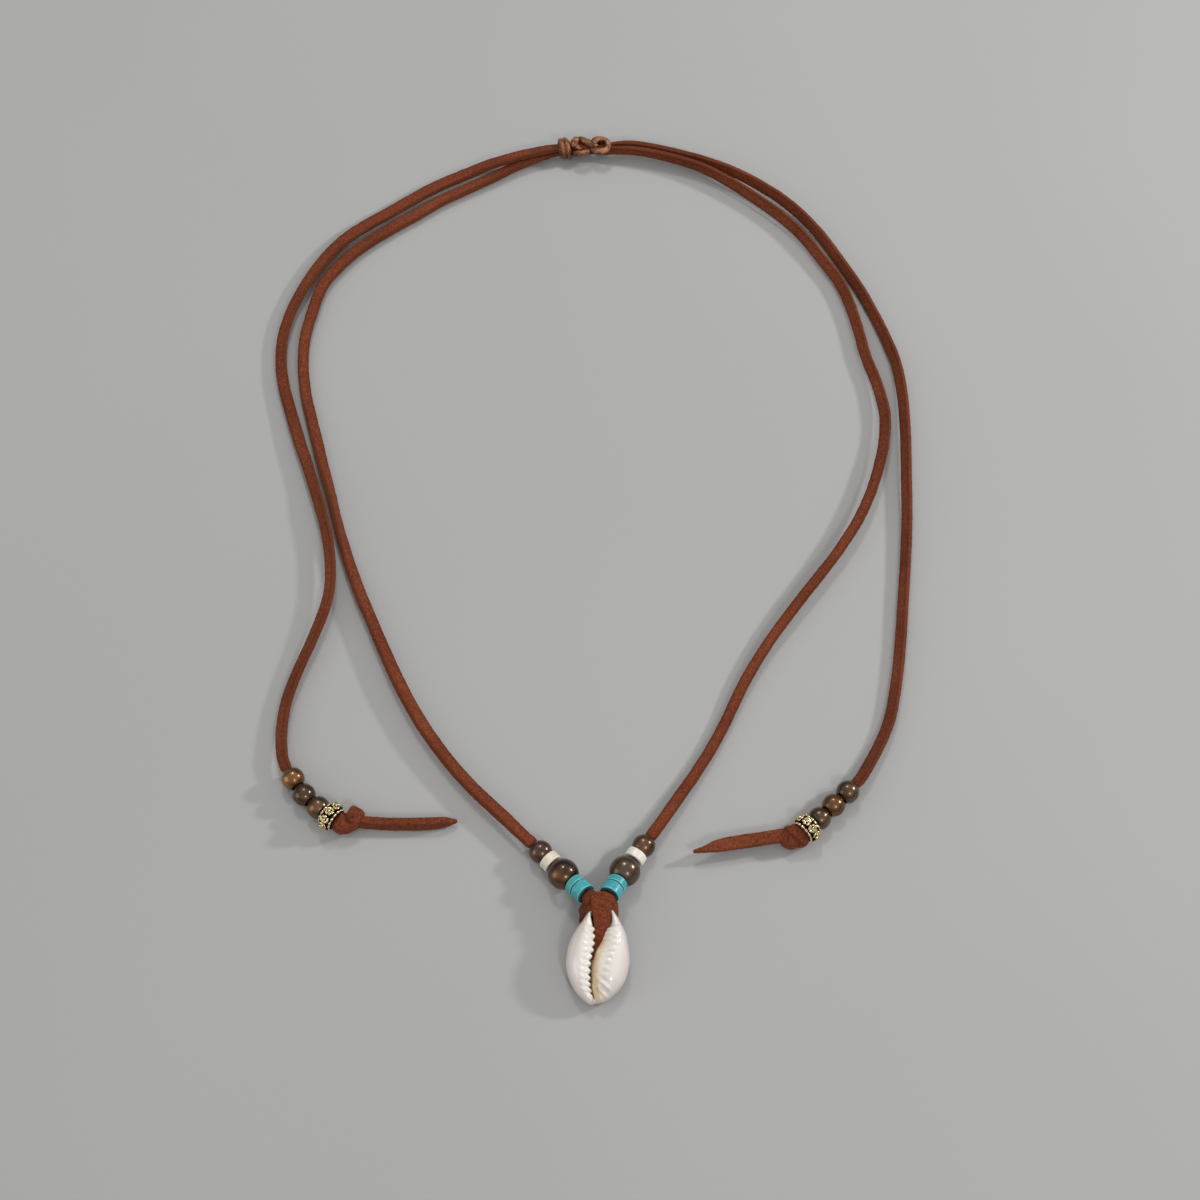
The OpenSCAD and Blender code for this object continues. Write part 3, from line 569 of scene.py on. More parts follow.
def disc_material(name, low, mid, high, gloss, coat, gap_shade_depth=0.0):
    m, nt, b = node_material(name)
    tc = add(nt, "ShaderNodeTexCoord").outputs["Object"]
    a = noise_node(nt, 330.0, 3.0, 0.6, 0.4, tc).outputs["Fac"]
    g = noise_node(nt, 2200.0, 3.0, 0.6, 0.0, tc).outputs["Fac"]
    fac = math_node(nt, "ADD", math_node(nt, "MULTIPLY", a, 0.8), math_node(nt, "MULTIPLY", g, 0.2))
    r = ramp(nt, [(0.36, low), (0.5, mid), (0.64, high)])
    nt.links.new(fac, r.inputs["Fac"])
    # painted highlight: lighter along the bevelled rims
    at = add(nt, "ShaderNodeAttribute", attribute_name="rim").outputs["Fac"]
    col = mix(nt, math_node(nt, "MULTIPLY", at, 0.65), r.outputs["Color"], [min(1, c * 1.7 + 0.07) for c in high])
    # painted shade on the flat faces and bevels, where each disc meets its neighbours
    gap_shade = add(nt, "ShaderNodeAttribute", attribute_name="gap_shade").outputs["Fac"]
    col = mix(nt, math_node(nt, "MULTIPLY", gap_shade, gap_shade_depth), col, [c * 0.22 for c in low])
    nt.links.new(col, b.inputs["Base Color"])
    b.inputs["Roughness"].default_value = gloss
    b.inputs["Coat Weight"].default_value = coat
    b.inputs["Coat Roughness"].default_value = 0.18
    b.inputs["Subsurface Weight"].default_value = 0.12
    b.inputs["Subsurface Radius"].default_value = (0.6, 0.6, 0.6)
    b.inputs["Subsurface Scale"].default_value = 0.0008
    nt.links.new(bump(nt, g, 0.2, 0.00006), b.inputs["Normal"])
    return m


def gold_material():
    m, nt, b = node_material("antiqued_gold")
    tc = add(nt, "ShaderNodeTexCoord").outputs["Object"]
    at = add(nt, "ShaderNodeAttribute", attribute_name="recess").outputs["Fac"]
    g = noise_node(nt, 1400.0, 3.0, 0.6, 0.2, tc).outputs["Fac"]
    wear = math_node(nt, "ADD", at, math_node(nt, "MULTIPLY", math_node(nt, "SUBTRACT", g, 0.5), 0.5))
    r = ramp(nt, [(0.14, (0.90, 0.74, 0.43)), (0.34, (0.45, 0.29, 0.105)), (0.58, (0.018, 0.010, 0.004))])
    nt.links.new(wear, r.inputs["Fac"])
    nt.links.new(r.outputs["Color"], b.inputs["Base Color"])
    rr = ramp(nt, [(0.2, (0.14,) * 3), (0.7, (0.75,) * 3)])
    nt.links.new(wear, rr.inputs["Fac"])
    nt.links.new(rr.outputs["Color"], b.inputs["Roughness"])
    b.inputs["Metallic"].default_value = 1.0
    nt.links.new(bump(nt, g, 0.25, 0.00005), b.inputs["Normal"])
    return m


def cord_material():
    m, nt, b = node_material("waxed_cord")
    tc = add(nt, "ShaderNodeTexCoord").outputs["Object"]
    g = noise_node(nt, 1300.0, 4.0, 0.65, 0.5, tc).outputs["Fac"]
    w = noise_node(nt, 330.0, 2.0, 0.5, 0.0, tc).outputs["Fac"]
    fac = math_node(nt, "ADD", math_node(nt, "MULTIPLY", g, 0.6), math_node(nt, "MULTIPLY", w, 0.4))
    r = ramp(nt, [(0.39, (0.085, 0.025, 0.009)), (0.50, (0.235, 0.076, 0.027)), (0.62, (0.44, 0.185, 0.076))])
    nt.links.new(fac, r.inputs["Fac"])
    # painted shade: darker where the recess attribute is high
    deep = add(nt, "ShaderNodeAttribute", attribute_name="recess").outputs["Fac"]
    col = mix(nt, math_node(nt, "MULTIPLY", deep, 0.88, True), r.outputs["Color"], (0.046, 0.013, 0.004))
    nt.links.new(col, b.inputs["Base Color"])
    b.inputs["Roughness"].default_value = 0.40
    b.inputs["Specular Tint"].default_value = (1.0, 0.78, 0.6, 1.0)
    b.inputs["Coat Weight"].default_value = 0.30
    b.inputs["Coat Roughness"].default_value = 0.16
    nt.links.new(bump(nt, g, 0.55, 0.00020), b.inputs["Normal"])
    return m


def shell_material():
    m, nt, b = node_material("cowrie")
    tc = add(nt, "ShaderNodeTexCoord").outputs["Object"]
    w = noise_node(nt, 110.0, 2.0, 0.5, 0.3, tc).outputs["Fac"]
    r = ramp(nt, [(0.35, (0.88, 0.795, 0.735)), (0.5, (0.905, 0.85, 0.80)), (0.65, (0.92, 0.88, 0.84))])
    nt.links.new(w, r.inputs["Fac"])
    margin = add(nt, "ShaderNodeAttribute", attribute_name="margin").outputs["Fac"]
    col = mix(nt, math_node(nt, "MULTIPLY", margin, 0.8), r.outputs["Color"], (0.74, 0.60, 0.54))
    ochre = add(nt, "ShaderNodeAttribute", attribute_name="ochre").outputs["Fac"]
    tint = ramp(nt, [(0.35, (0.78, 0.57, 0.31)), (0.65, (0.90, 0.76, 0.54))])
    nt.links.new(noise_node(nt, 420.0, 2.0, 0.5, 0.3, tc).outputs["Fac"], tint.inputs["Fac"])
    col = mix(nt, ochre, col, tint.outputs["Color"])
    rosy = add(nt, "ShaderNodeAttribute", attribute_name="pink").outputs["Fac"]
    col = mix(nt, math_node(nt, "MULTIPLY", rosy, 0.75), col, (0.78, 0.62, 0.56))
    inside = add(nt, "ShaderNodeAttribute", attribute_name="inside").outputs["Fac"]
    col = mix(nt, inside, col, (0.62, 0.50, 0.42))
    nt.links.new(col, b.inputs["Base Color"])
    b.inputs["Roughness"].default_value = 0.22
    b.inputs["Coat Weight"].default_value = 1.0
    b.inputs["Coat Roughness"].default_value = 0.06
    b.inputs["Subsurface Weight"].default_value = 0.34
    b.inputs["Subsurface Radius"].default_value = (1.0, 0.75, 0.6)
    b.inputs["Subsurface Scale"].default_value = 0.0012
    g = noise_node(nt, 700.0, 3.0, 0.6, 0.0, tc).outputs["Fac"]
    nt.links.new(bump(nt, g, 0.06, 0.0001), b.inputs["Normal"])
    return m


DUSK = ((0.030, 0.019, 0.011), (0.048, 0.031, 0.019), (0.074, 0.049, 0.030))
TAUPE = ((0.050, 0.033, 0.022), (0.083, 0.055, 0.037), (0.125, 0.085, 0.057))
PLUM = ((0.052, 0.028, 0.021), (0.086, 0.047, 0.034), (0.130, 0.073, 0.052))
BRONZE = ((0.050, 0.030, 0.016), (0.086, 0.051, 0.027), (0.132, 0.080, 0.042))
COPPER = ((0.070, 0.033, 0.015), (0.130, 0.060, 0.025), (0.205, 0.096, 0.038))
bead_mats = {
    "large_bead_left": bead_material("bead_dusk_copper", DUSK, (0.34, 0.140, 0.045), 0.56),
    "large_bead_right": bead_material("bead_taupe", TAUPE, (0.190, 0.122, 0.078), 0.52),
    "small_bead_left": bead_material("bead_plum", PLUM, (0.210, 0.108, 0.074), 0.52),
    "small_bead_right": bead_material("bead_umber_copper", BRONZE, (0.260, 0.120, 0.050), 0.50),
    "end_bead_left_1": bead_material("bead_gold_brown", COPPER, (0.40, 0.185, 0.062), 0.52),
    "end_bead_left_2": bead_material("bead_umber_a", BRONZE, (0.245, 0.115, 0.046), 0.54),
    "end_bead_left_3": bead_material("bead_bronze_b", BRONZE, (0.250, 0.118, 0.052), 0.54),
    "end_bead_right_1": bead_material("bead_bronze_c", BRONZE, (0.240, 0.134, 0.068), 0.53),
    "end_bead_right_2": bead_material("bead_copper", COPPER, (0.215, 0.108, 0.044), 0.52),
    "end_bead_right_3": bead_material("bead_olive", BRONZE, (0.235, 0.145, 0.062), 0.52),
}
# Warm copper patches on each bead, seen from above, partly the bead's own colour and partly painted sheen round the
# lamps' reflections: right, up, width (all in radii), strength
COPPER_SHEEN_PATCHES = {
    "large_bead_left": [(0.27, -0.22, 0.30, 0.80), (-0.05, -0.78, 0.34, 0.45), (-0.52, -0.05, 0.35, 0.22)],
    "large_bead_right": [(0.15, -0.25, 0.40, 0.30)],
    "small_bead_left": [(0.30, -0.20, 0.40, 0.55), (-0.55, -0.15, 0.35, 0.35)],
    "small_bead_right": [(0.10, -0.30, 0.60, 0.80)],
    "end_bead_left_1": [(-0.60, -0.20, 0.50, 0.85), (0.20, 0.40, 0.45, 0.35)],
    "end_bead_left_2": [(-0.55, -0.20, 0.40, 0.45), (0.20, -0.20, 0.36, 0.45)],
    "end_bead_left_3": [(-0.50, -0.15, 0.45, 0.60), (0.10, 0.30, 0.40, 0.40)],
    "end_bead_right_1": [(0.20, -0.20, 0.35, 0.40)],
    "end_bead_right_2": [(0.00, 0.00, 0.80, 0.75)],
    "end_bead_right_3": [(0.15, -0.30, 0.45, 0.65)],
}
turquoise_mat = disc_material("turquoise", (0.038, 0.315, 0.345), (0.051, 0.390, 0.426), (0.073, 0.461, 0.502), 0.36, 0.28, 0.9)
cream_mat = disc_material("cream_disc", (0.76, 0.64, 0.48), (0.84, 0.73, 0.58), (0.90, 0.81, 0.68), 0.42, 0.15)
white_mat = disc_material("white_disc", (0.82, 0.71, 0.63), (0.88, 0.79, 0.72), (0.92, 0.86, 0.80), 0.40, 0.18)
gold_mat = gold_material()
cord_mat = cord_material()
shell_mat = shell_material()


# ---------------------------------------------------------------- lace strips
def strip_section():
    """Round-cornered flat section: (wide side sign or -1..1, thin side, corner) for 30 points."""
    pts = []
    wide = np.linspace(-1, 1, 9)
    thin = np.linspace(1, -1, 4)
    for a in wide:
        pts.append((a, 1.0, 0, 0))
    pts.append((1.0, 1.0, 1, 1))
    for c in thin:
        pts.append((1.0, c, 1, 0))
    pts.append((1.0, -1.0, 1, 1))
    for a in wide[::-1]:
        pts.append((a, -1.0, 0, 0))
    pts.append((-1.0, -1.0, 1, 1))
    for c in thin[::-1]:
        pts.append((-1.0, c, 1, 0))
    pts.append((-1.0, 1.0, 1, 1))
    return arr(pts)


SECTION = strip_section()


def strip_surface(rows, ref=(0, 0, 1), step=0.35, seed=1.0, rough=1.0, density=8):
    """Rings of a suede strip along a route: slightly crowned faces and wavy cut edges."""
    path, s = resample(catmull(rows, density), step)
    p = path[:, :3]
    t, side, up = frames(p, ref)
    r = np.radians(path[:, 3])[:, None]
    wide = np.cos(r) * side + np.sin(r) * up
    thin = np.cos(r) * up - np.sin(r) * side
    hw, ht = path[:, 4] / 2, path[:, 5] / 2
    line = np.stack([s, np.zeros_like(s), np.zeros_like(s)], 1)
    edge_r = 0.07 * n3(line, 0.30, seed) + 0.05 * n3(line, 1.1, seed + 3)
    edge_l = 0.07 * n3(line, 0.27, seed + 7) + 0.05 * n3(line, 1.3, seed + 9)
    crown = 0.05 * n3(line, 0.12, seed + 5)
    rc = np.minimum(0.30, ht * 0.45)
    nick = 0.05 * n3(line, 2.7, seed + 13) + 0.04 * n3(line, 5.1, seed + 15)
    edge_r = edge_r + nick
    edge_l = edge_l + 0.05 * n3(line, 2.9, seed + 17) + 0.04 * n3(line, 4.7, seed + 19)
    n = len(p)
    rings = np.empty((n, len(SECTION), 3))
    cut = np.empty((n, len(SECTION)))
    for k, (a, b, on_edge, corner) in enumerate(SECTION):
        w = hw + rough * np.where(a > 0, edge_r, edge_l) * (0.4 + 0.6 * abs(a))
        if corner:
            x = np.sign(a) * (w - rc * 0.29)
            y = np.sign(b) * (ht - rc * 0.29)
        elif on_edge:
            x = np.sign(a) * w * np.ones(n)
            y = b * (ht - rc)
        else:
            x = a * (w - rc)
            y = np.sign(b) * (ht + (0.05 + crown) * (1 - a * a) * rough)
        rings[:, k] = p + x[:, None] * wide + y[:, None] * thin
        cut[:, k] = 1.0 if on_edge and not corner else (0.55 if corner else 0.0)
    return path, s, rings, cut, (t, wide, thin)


def nap(o, amount, seed, cutvals=None):
    """Coarse nap as real relief: the finer nap is in the material."""
    p = coords(o)
    nrm = vertex_normals(o)
    d = 0.60 * n3(p, 2.6, seed) + 0.40 * n3(p, 5.6, seed + 2)
    d = d * amount
    if cutvals is not None:
        d = d * (1.0 - 0.35 * cutvals)
    set_coords(o, p + nrm * d[:, None])


def fibres(name, o, count, seed, length=(0.25, 0.7), prefer=None, width=0.030):
    """Loose fibres of the nap: thin bent blades standing off the surface."""
    rnd = np.random.RandomState(seed)
    p = coords(o)
    nrm = vertex_normals(o)
    weight = np.ones(len(p)) if prefer is None else prefer
    idx = rnd.choice(len(p), count, p=weight / weight.sum())
    verts, faces = [], []
    for i in idx:
        base, nn = p[i], nrm[i]
        tang = np.cross(nn, rnd.normal(size=3))
        tang /= np.linalg.norm(tang) + 1e-9
        lean = rnd.uniform(0.2, 1.3)
        d = nn + tang * lean
        d /= np.linalg.norm(d)
        ln = rnd.uniform(*length) * (1.0 if rnd.rand() > 0.05 else 1.7)
        side = np.cross(d, nn + 0.01)
        side /= np.linalg.norm(side) + 1e-9
        w = width * rnd.uniform(0.7, 1.3)
        curl = rnd.normal(size=3) * 0.25
        mid = base + d * ln * 0.5 + curl * ln * 0.25
        tip = base + d * ln + curl * ln * 0.9
        root = base - nn * 0.04
        k = len(verts)
        verts += [root - side * w, root + side * w, mid - side * w * 0.7, mid + side * w * 0.7, tip]
        faces += [(k, k + 1, k + 3, k + 2), (k + 2, k + 3, k + 4)]
    # fibres under the piece lie flat on the floor
    verts = [arr([v[0], v[1], max(v[2], 0.03)]) for v in verts]
    return new_object(name, verts, faces, fibre_mat)


def painted_shade_of(count):
    """Mask of painted shade: 1 on the corner line of every ring, less beside it."""
    a = np.zeros(len(SECTION))
    for k, (x, y, on_edge, corner) in enumerate(SECTION):
        if corner:
            a[k] = 1.0
        elif on_edge:
            a[k] = 0.45
        elif abs(x) == 1:
            a[k] = 0.85
        elif abs(x) == 0.75:
            a[k] = 0.25
    return np.tile(a, count)


def make_lace(name, node, rows, seed, exit_row):
    path, s, rings, cut, fr = strip_surface(rows, step=0.26, seed=seed)
    v, f = loft(rings)
    o = new_object(name, v, f, suede_mat)
    cv = cut.ravel()
    attribute(o, "cut", cv)
    # painted shade along the strip's corner lines
    attribute(o, "painted_shade", painted_shade_of(len(path)))
    nap(o, 0.11, seed, cv)
    edge = 0.15 + (cut.ravel() > 0.4) * 1.0
    hair = fibres(name + "_fibres", o, 5200, int(seed * 10), prefer=edge)
    tufts = fibres(name + "_tufts", o, 620, int(seed * 10) + 1, (0.35, 0.8), prefer=edge, width=0.075)
    for x in (o, hair, tufts):
        settle(x)
    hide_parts(node)
    return o


lace_left = make_lace("lace_left", "lace_left_half", LEFT_HALF, 1.0, 0)
lace_right = make_lace("lace_right", "lace_right_half", RIGHT_HALF, 2.0, 0)


# ---------------------------------------------------------------- turned pieces
def revolve(name, profile, centre, axis, material, segs=72, relief=None):
    """profile: (along, radius) points, closed round the wall, turned about axis at centre."""
    z = unit(axis)
    x = unit(np.cross(z, [0, 0, 1]) if abs(z[2]) < 0.95 else np.cross(z, [1, 0, 0]))
    y = np.cross(z, x)
    prof = arr(profile)
    ang = np.linspace(0, 2 * np.pi, segs, endpoint=False)
    v = np.empty((segs, len(prof), 3))
    for i, a in enumerate(ang):
        d = math.cos(a) * x + math.sin(a) * y
        v[i] = arr(centre) + prof[:, :1] * z + prof[:, 1:2] * d
    n, c = segs, len(prof)
    faces = [
        (i * c + k, i * c + (k + 1) % c, ((i + 1) % n) * c + (k + 1) % c, ((i + 1) % n) * c + k)
        for i in range(n)
        for k in range(c)
    ]
    o = new_object(name, v.reshape(-1, 3), faces, material)
    return o


def bead_profile(d, bore, n=40):
    r, b = d / 2, bore / 2
    half = math.sqrt(r * r - b * b)
    a0 = math.acos(half / r)
    pts = []
    for a in np.linspace(a0 + 0.10, math.pi - a0 - 0.10, n):
        pts.append((r * math.cos(a), r * math.sin(a)))
    # rounded lip of the hole, then the hole itself
    lip = 0.10 * r
    pts.append((-half + lip * 0.10, b + lip * 0.35))
    pts.append((-half + lip * 0.35, b + lip * 0.06))
    for z in np.linspace(-half + lip, half - lip, 8):
        pts.append((z, b))
    pts.append((half - lip * 0.35, b + lip * 0.06))
    pts.append((half - lip * 0.10, b + lip * 0.35))
    return pts


def make_bead(name, node, centre, axis, d, bore):
    o = revolve(name, bead_profile(d, bore), centre, axis, bead_mats[node])
    p = coords(o)
    nrm = vertex_normals(o)
    across, up = arr([1, 0, 0]), arr([0, math.cos(TILT), math.sin(TILT)])
    out = (p - arr(centre)) / (d / 2)
    # painted sheen: copper patches set round where the lamps reflect, seen from the camera, partly the bead's own
    # copper
    copper_sheen = np.zeros(len(p))
    for x, y, width, strength in COPPER_SHEEN_PATCHES[node]:
        to = x * across + y * up + math.sqrt(1 - x * x - y * y) * arr(BACK)
        copper_sheen += strength * np.exp(-((out - to) ** 2).sum(1) / width**2)
    attribute(o, "copper_and_sheen", np.clip(copper_sheen, 0, 1))
    set_coords(o, p + nrm * (0.012 * n3(p, 0.8, 4.0))[:, None])
    settle(o)
    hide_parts(node)
    return o


SMALL, LARGE = 6.0, 8.0
SMALL_BORE, LARGE_BORE = 3.2, 3.4
small_half = math.sqrt(9.0 - 1.6**2)
large_half = math.sqrt(16.0 - 1.7**2)
GAP = 0.06
WHITE_T, THIN_T, THICK_T = 2.2, 2.1, 3.0
large_left, large_right = arr([-6.3, -95.6, 4.0]), arr([9.3, -94.8, 4.0])
out_left, out_right = unit([-5.8, 6.2, -0.95]), unit([4.7, 6.8, -0.9])
in_left, in_right = unit([4.2, -4.5, 2.0]), unit([-2.9, -5.3, 2.3])
white_at = large_half + 0.2 + WHITE_T / 2
small_at = large_half + 0.2 + WHITE_T + GAP + small_half
thin_at = large_half + 0.2 + THIN_T / 2
thick_at = large_half + 0.2 + THIN_T + GAP + THICK_T / 2
ends_left = [[-76.5, -69.5, 3.0], [-73.4, -73.9, 3.0], [-69.5, -77.4, 3.0]]
ends_right = [[67.0, -73.1, 3.0], [63.2, -76.7, 3.0], [59.4, -80.3, 3.0]]
axes_left = [[3.0, -4.8, 0], [3.5, -3.9, 0], [3.8, -3.2, 0]]
axes_right = [[-3.7, -3.9, 0], [-3.8, -3.6, 0], [-3.8, -3.4, 0]]

make_bead("large_bead_l", "large_bead_left", large_left, in_left - out_left, LARGE, LARGE_BORE)
make_bead("large_bead_r", "large_bead_right", large_right, in_right - out_right, LARGE, LARGE_BORE)
make_bead("small_bead_l", "small_bead_left", large_left + small_at * out_left, out_left, SMALL, SMALL_BORE)
make_bead("small_bead_r", "small_bead_right", large_right + small_at * out_right, out_right, SMALL, SMALL_BORE)
for i in range(3):
    make_bead(f"end_bead_l{i + 1}", f"end_bead_left_{i + 1}", ends_left[i], axes_left[i], SMALL, SMALL_BORE)
    make_bead(f"end_bead_r{i + 1}", f"end_bead_right_{i + 1}", ends_right[i], axes_right[i], SMALL, SMALL_BORE)


def make_disc(name, node, centre, axis, t, material, seed):
    """A cut disc: bevelled rims, faintly uneven wall."""
    r, b, bev = 2.7, 1.6, 0.30
    h = t / 2
    prof = [(-h, b + 0.12), (-h + 0.12, b)]
    prof += [(z, b) for z in np.linspace(-h + 0.3, h - 0.3, 5)]
    prof += [(h - 0.12, b), (h, b + 0.12)]
    prof += [(h, q) for q in np.linspace(b + 0.35, r - bev - 0.10, 4)]
    prof += [(h - 0.02, r - bev * 0.95), (h - bev * 0.30, r - bev * 0.30), (h - bev * 0.95, r - 0.02)]
    prof += [(z, r) for z in np.linspace(h - bev - 0.1, -h + bev + 0.1, 9)]
    prof += [(-h + bev * 0.95, r - 0.02), (-h + bev * 0.30, r - bev * 0.30), (-h + 0.02, r - bev * 0.95)]
    prof += [(-h, q) for q in np.linspace(r - bev - 0.10, b + 0.35, 4)]
    o = revolve(name, prof, centre, axis, material, 96)
    p = coords(o)
    nrm = vertex_normals(o)
    # painted highlight on the bevel and the rim's outer corner
    rim = np.array([0.25 if abs(q[1] - (r - bev * 0.30)) < 1e-6 else (1.0 if abs(q[1] - (r - 0.02)) < 1e-6 else 0.0) for q in prof])
    attribute(o, "rim", np.tile(rim, 96))
    # painted shade where the disc meets its neighbours
    attribute(o, "gap_shade", np.tile([1.0 if abs(q[0]) > h - 0.05 else (0.75 if abs(q[0]) > h - 0.6 * bev else 0.0) for q in prof], 96))
    set_coords(o, p + nrm * (0.030 * n3(p, 0.55, seed) + 0.012 * n3(p, 1.9, seed + 1))[:, None])
    settle(o)
    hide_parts(node)
    return o


make_disc("turquoise_l1", "turquoise_disc_left_1", large_left + thin_at * in_left, in_left, THIN_T, turquoise_mat, 1)
make_disc("turquoise_l2", "turquoise_disc_left_2", large_left + thick_at * in_left, in_left, THICK_T, turquoise_mat, 2)
make_disc("turquoise_r1", "turquoise_disc_right_1", large_right + thin_at * in_right, in_right, THIN_T, turquoise_mat, 3)
make_disc("turquoise_r2", "turquoise_disc_right_2", large_right + thick_at * in_right, in_right, THICK_T, turquoise_mat, 4)
make_disc("white_l", "white_disc_left", large_left + white_at * out_left, out_left, WHITE_T + 0.2, cream_mat, 5)
make_disc("white_r", "white_disc_right", large_right + white_at * out_right, out_right, WHITE_T + 0.2, white_mat, 6)


# ---------------------------------------------------------------- gold spacers
def ball(centre, r, rings=10, segs=14, squash=(1, 1, 1), basis=None):
    b = np.eye(3) if basis is None else arr(basis)
    v = [arr(centre) + b.T @ (arr([0, 0, r]) * arr(squash))]
    for i in range(1, rings):
        th = math.pi * i / rings
        for j in range(segs):
            ph = 2 * math.pi * j / segs
            q = arr([math.sin(th) * math.cos(ph), math.sin(th) * math.sin(ph), math.cos(th)]) * r * arr(squash)
            v.append(arr(centre) + b.T @ q)
    v.append(arr(centre) + b.T @ (arr([0, 0, -r]) * arr(squash)))
    f = []
    for j in range(segs):
        f.append((0, 1 + j, 1 + (j + 1) % segs))
    for i in range(rings - 2):
        a, c = 1 + i * segs, 1 + (i + 1) * segs
        for j in range(segs):
            f.append((a + j, c + j, c + (j + 1) % segs, a + (j + 1) % segs))
    last = len(v) - 1
    a = 1 + (rings - 2) * segs
    for j in range(segs):
        f.append((a + j, last, a + (j + 1) % segs))
    return arr(v), f


def tube(points, radius, segs=12, closed=False, flat=1.0, ref=(0, 0, 1)):
    """Skin of a cord along points; radius may vary along it."""
    p = arr(points)
    n = len(p)
    if closed:
        t = np.roll(p, -1, 0) - np.roll(p, 1, 0)
    else:
        t = np.empty_like(p)
        t[1:-1] = p[2:] - p[:-2]
        t[0], t[-1] = p[1] - p[0], p[-1] - p[-2]
    t /= np.linalg.norm(t, axis=1)[:, None]
    s = np.empty_like(p)
    first = np.cross(t[0], arr(ref))
    if np.linalg.norm(first) < 1e-3:
        first = np.cross(t[0], [1, 0, 0])
    s[0] = first / np.linalg.norm(first)
    for i in range(1, n):
        q = s[i - 1] - t[i] * (s[i - 1] @ t[i])
        s[i] = q / np.linalg.norm(q)
    u = np.cross(s, t)
    r = np.full(n, radius) if np.isscalar(radius) else arr(radius)
    rings = np.empty((n, segs, 3))
    for k in range(segs):
        a = 2 * math.pi * k / segs
        rings[:, k] = p + (r * math.cos(a))[:, None] * s + (r * flat * math.sin(a))[:, None] * u
    return loft(rings, closed_ring=closed)


def join(parts):
    v, f, n = [], [], 0
    for a, b in parts:
        v.append(arr(a))
        f += [tuple(i + n for i in q) for q in b]
        n += len(a)
    return np.concatenate(v), f


def make_spacer(name, node, centre, axis, turn):
    """Cast ring: nine bosses, each a coil of wire round a grain, between two rows of grains."""
    z = unit(axis)
    x = unit(np.cross(z, [0, 0, 1]))
    y = np.cross(z, x)
    c = arr(centre)
    parts, recess = [], []

    def push(part, value):
        parts.append(part)
        recess.append(np.full(len(part[0]), value))

    # core sleeve
    prof = [(-1.55, 1.9), (1.55, 1.9), (1.62, 2.0), (1.62, 2.35), (1.35, 2.62), (-1.35, 2.62), (-1.62, 2.35), (-1.62, 2.0)]
    segs = 54
    v = []
    for i in range(segs):
        a = 2 * math.pi * i / segs
        d = math.cos(a) * x + math.sin(a) * y
        v += [c + q[0] * z + q[1] * d for q in prof]
    k = len(prof)
    f = [
        (i * k + j, i * k + (j + 1) % k, ((i + 1) % segs) * k + (j + 1) % k, ((i + 1) % segs) * k + j)
        for i in range(segs)
        for j in range(k)
    ]
    push((arr(v), f), 0.95)
    for i in range(9):
        a = 2 * math.pi * (i + 0.5) / 9 + turn
        d = math.cos(a) * x + math.sin(a) * y
        e = np.cross(z, d)
        # boss: low dome with an open curl of wire on it and three grains inside the curl
        basis = arr([e, z, d])
        push(ball(c + 2.60 * d, 1.06, 12, 20, (1.0, 1.24, 0.80), basis), 0.85)
        start = 0.5 + 2.4 * i
        curl = []
        for q in np.linspace(0, 1, 30):
            th = start + math.pi * 1.25 * q
            rad = 0.84 - 0.05 * q
            curl.append(c + (3.16 + 0.06 * math.sin(math.pi * q)) * d + rad * math.cos(th) * e * 0.94 + rad * math.sin(th) * z * 1.10)
        push(tube(curl, 0.34, 12, ref=d), 0.10)
        for k, (turned, out, size) in enumerate(((1.50, 0.66, 0.45), (1.78, 0.66, 0.40), (0.60, 0.16, 0.46))):
            th = start + math.pi * turned + 0.15 * math.sin(5.0 * i + k)
            push(ball(c + (3.34 + 0.05 * (k == 2)) * d + out * math.cos(th) * e + out * math.sin(th) * z * 1.1, size, 12, 16), 0.02)
    for sgn in (-1, 1):
        for i in range(13):
            a = 2 * math.pi * (i + 0.3) / 13 + turn
            d = math.cos(a) * x + math.sin(a) * y
            e = np.cross(z, d)
            push(ball(c + sgn * 1.50 * z + 2.56 * d, 0.45, 10, 16, (1.45, 0.95, 1.05), arr([e, z, d])), 0.06)
    v, f = join(parts)
    out = v - c
    run = (out @ z)[:, None] * z
    v = c + 1.05 * (out - run) + 1.04 * run
    o = new_object(name, v, f, gold_mat)
    # painted shade on the steep sides, on top of the dark of the recesses
    away = v - c - ((v - c) @ z)[:, None] * z
    away /= np.linalg.norm(away, axis=1)[:, None]
    steep = np.clip(0.72 - (vertex_normals(o) * away).sum(1), 0, 1) * 1.1
    attribute(o, "recess", np.maximum(np.concatenate(recess), steep))
    settle(o)
    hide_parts(node)
    return o


spacer_at = small_half + GAP + 0.1 + 1.6
make_spacer("spacer_l", "gold_spacer_left", arr(ends_left[2]) + spacer_at * unit([4, -3, 0]) + arr([0, 0, 0.85]), [4, -3, 0], 0.15)
make_spacer("spacer_r", "gold_spacer_right", arr(ends_right[2]) + spacer_at * unit([-3, -2.7, 0]) + arr([0, 0, 0.85]), [-3, -2.7, 0], 0.40)


# ---------------------------------------------------------------- sliding knot
def smooth_path(points, n=10, step=0.16):
    return resample(catmull(points, n), step)[0]


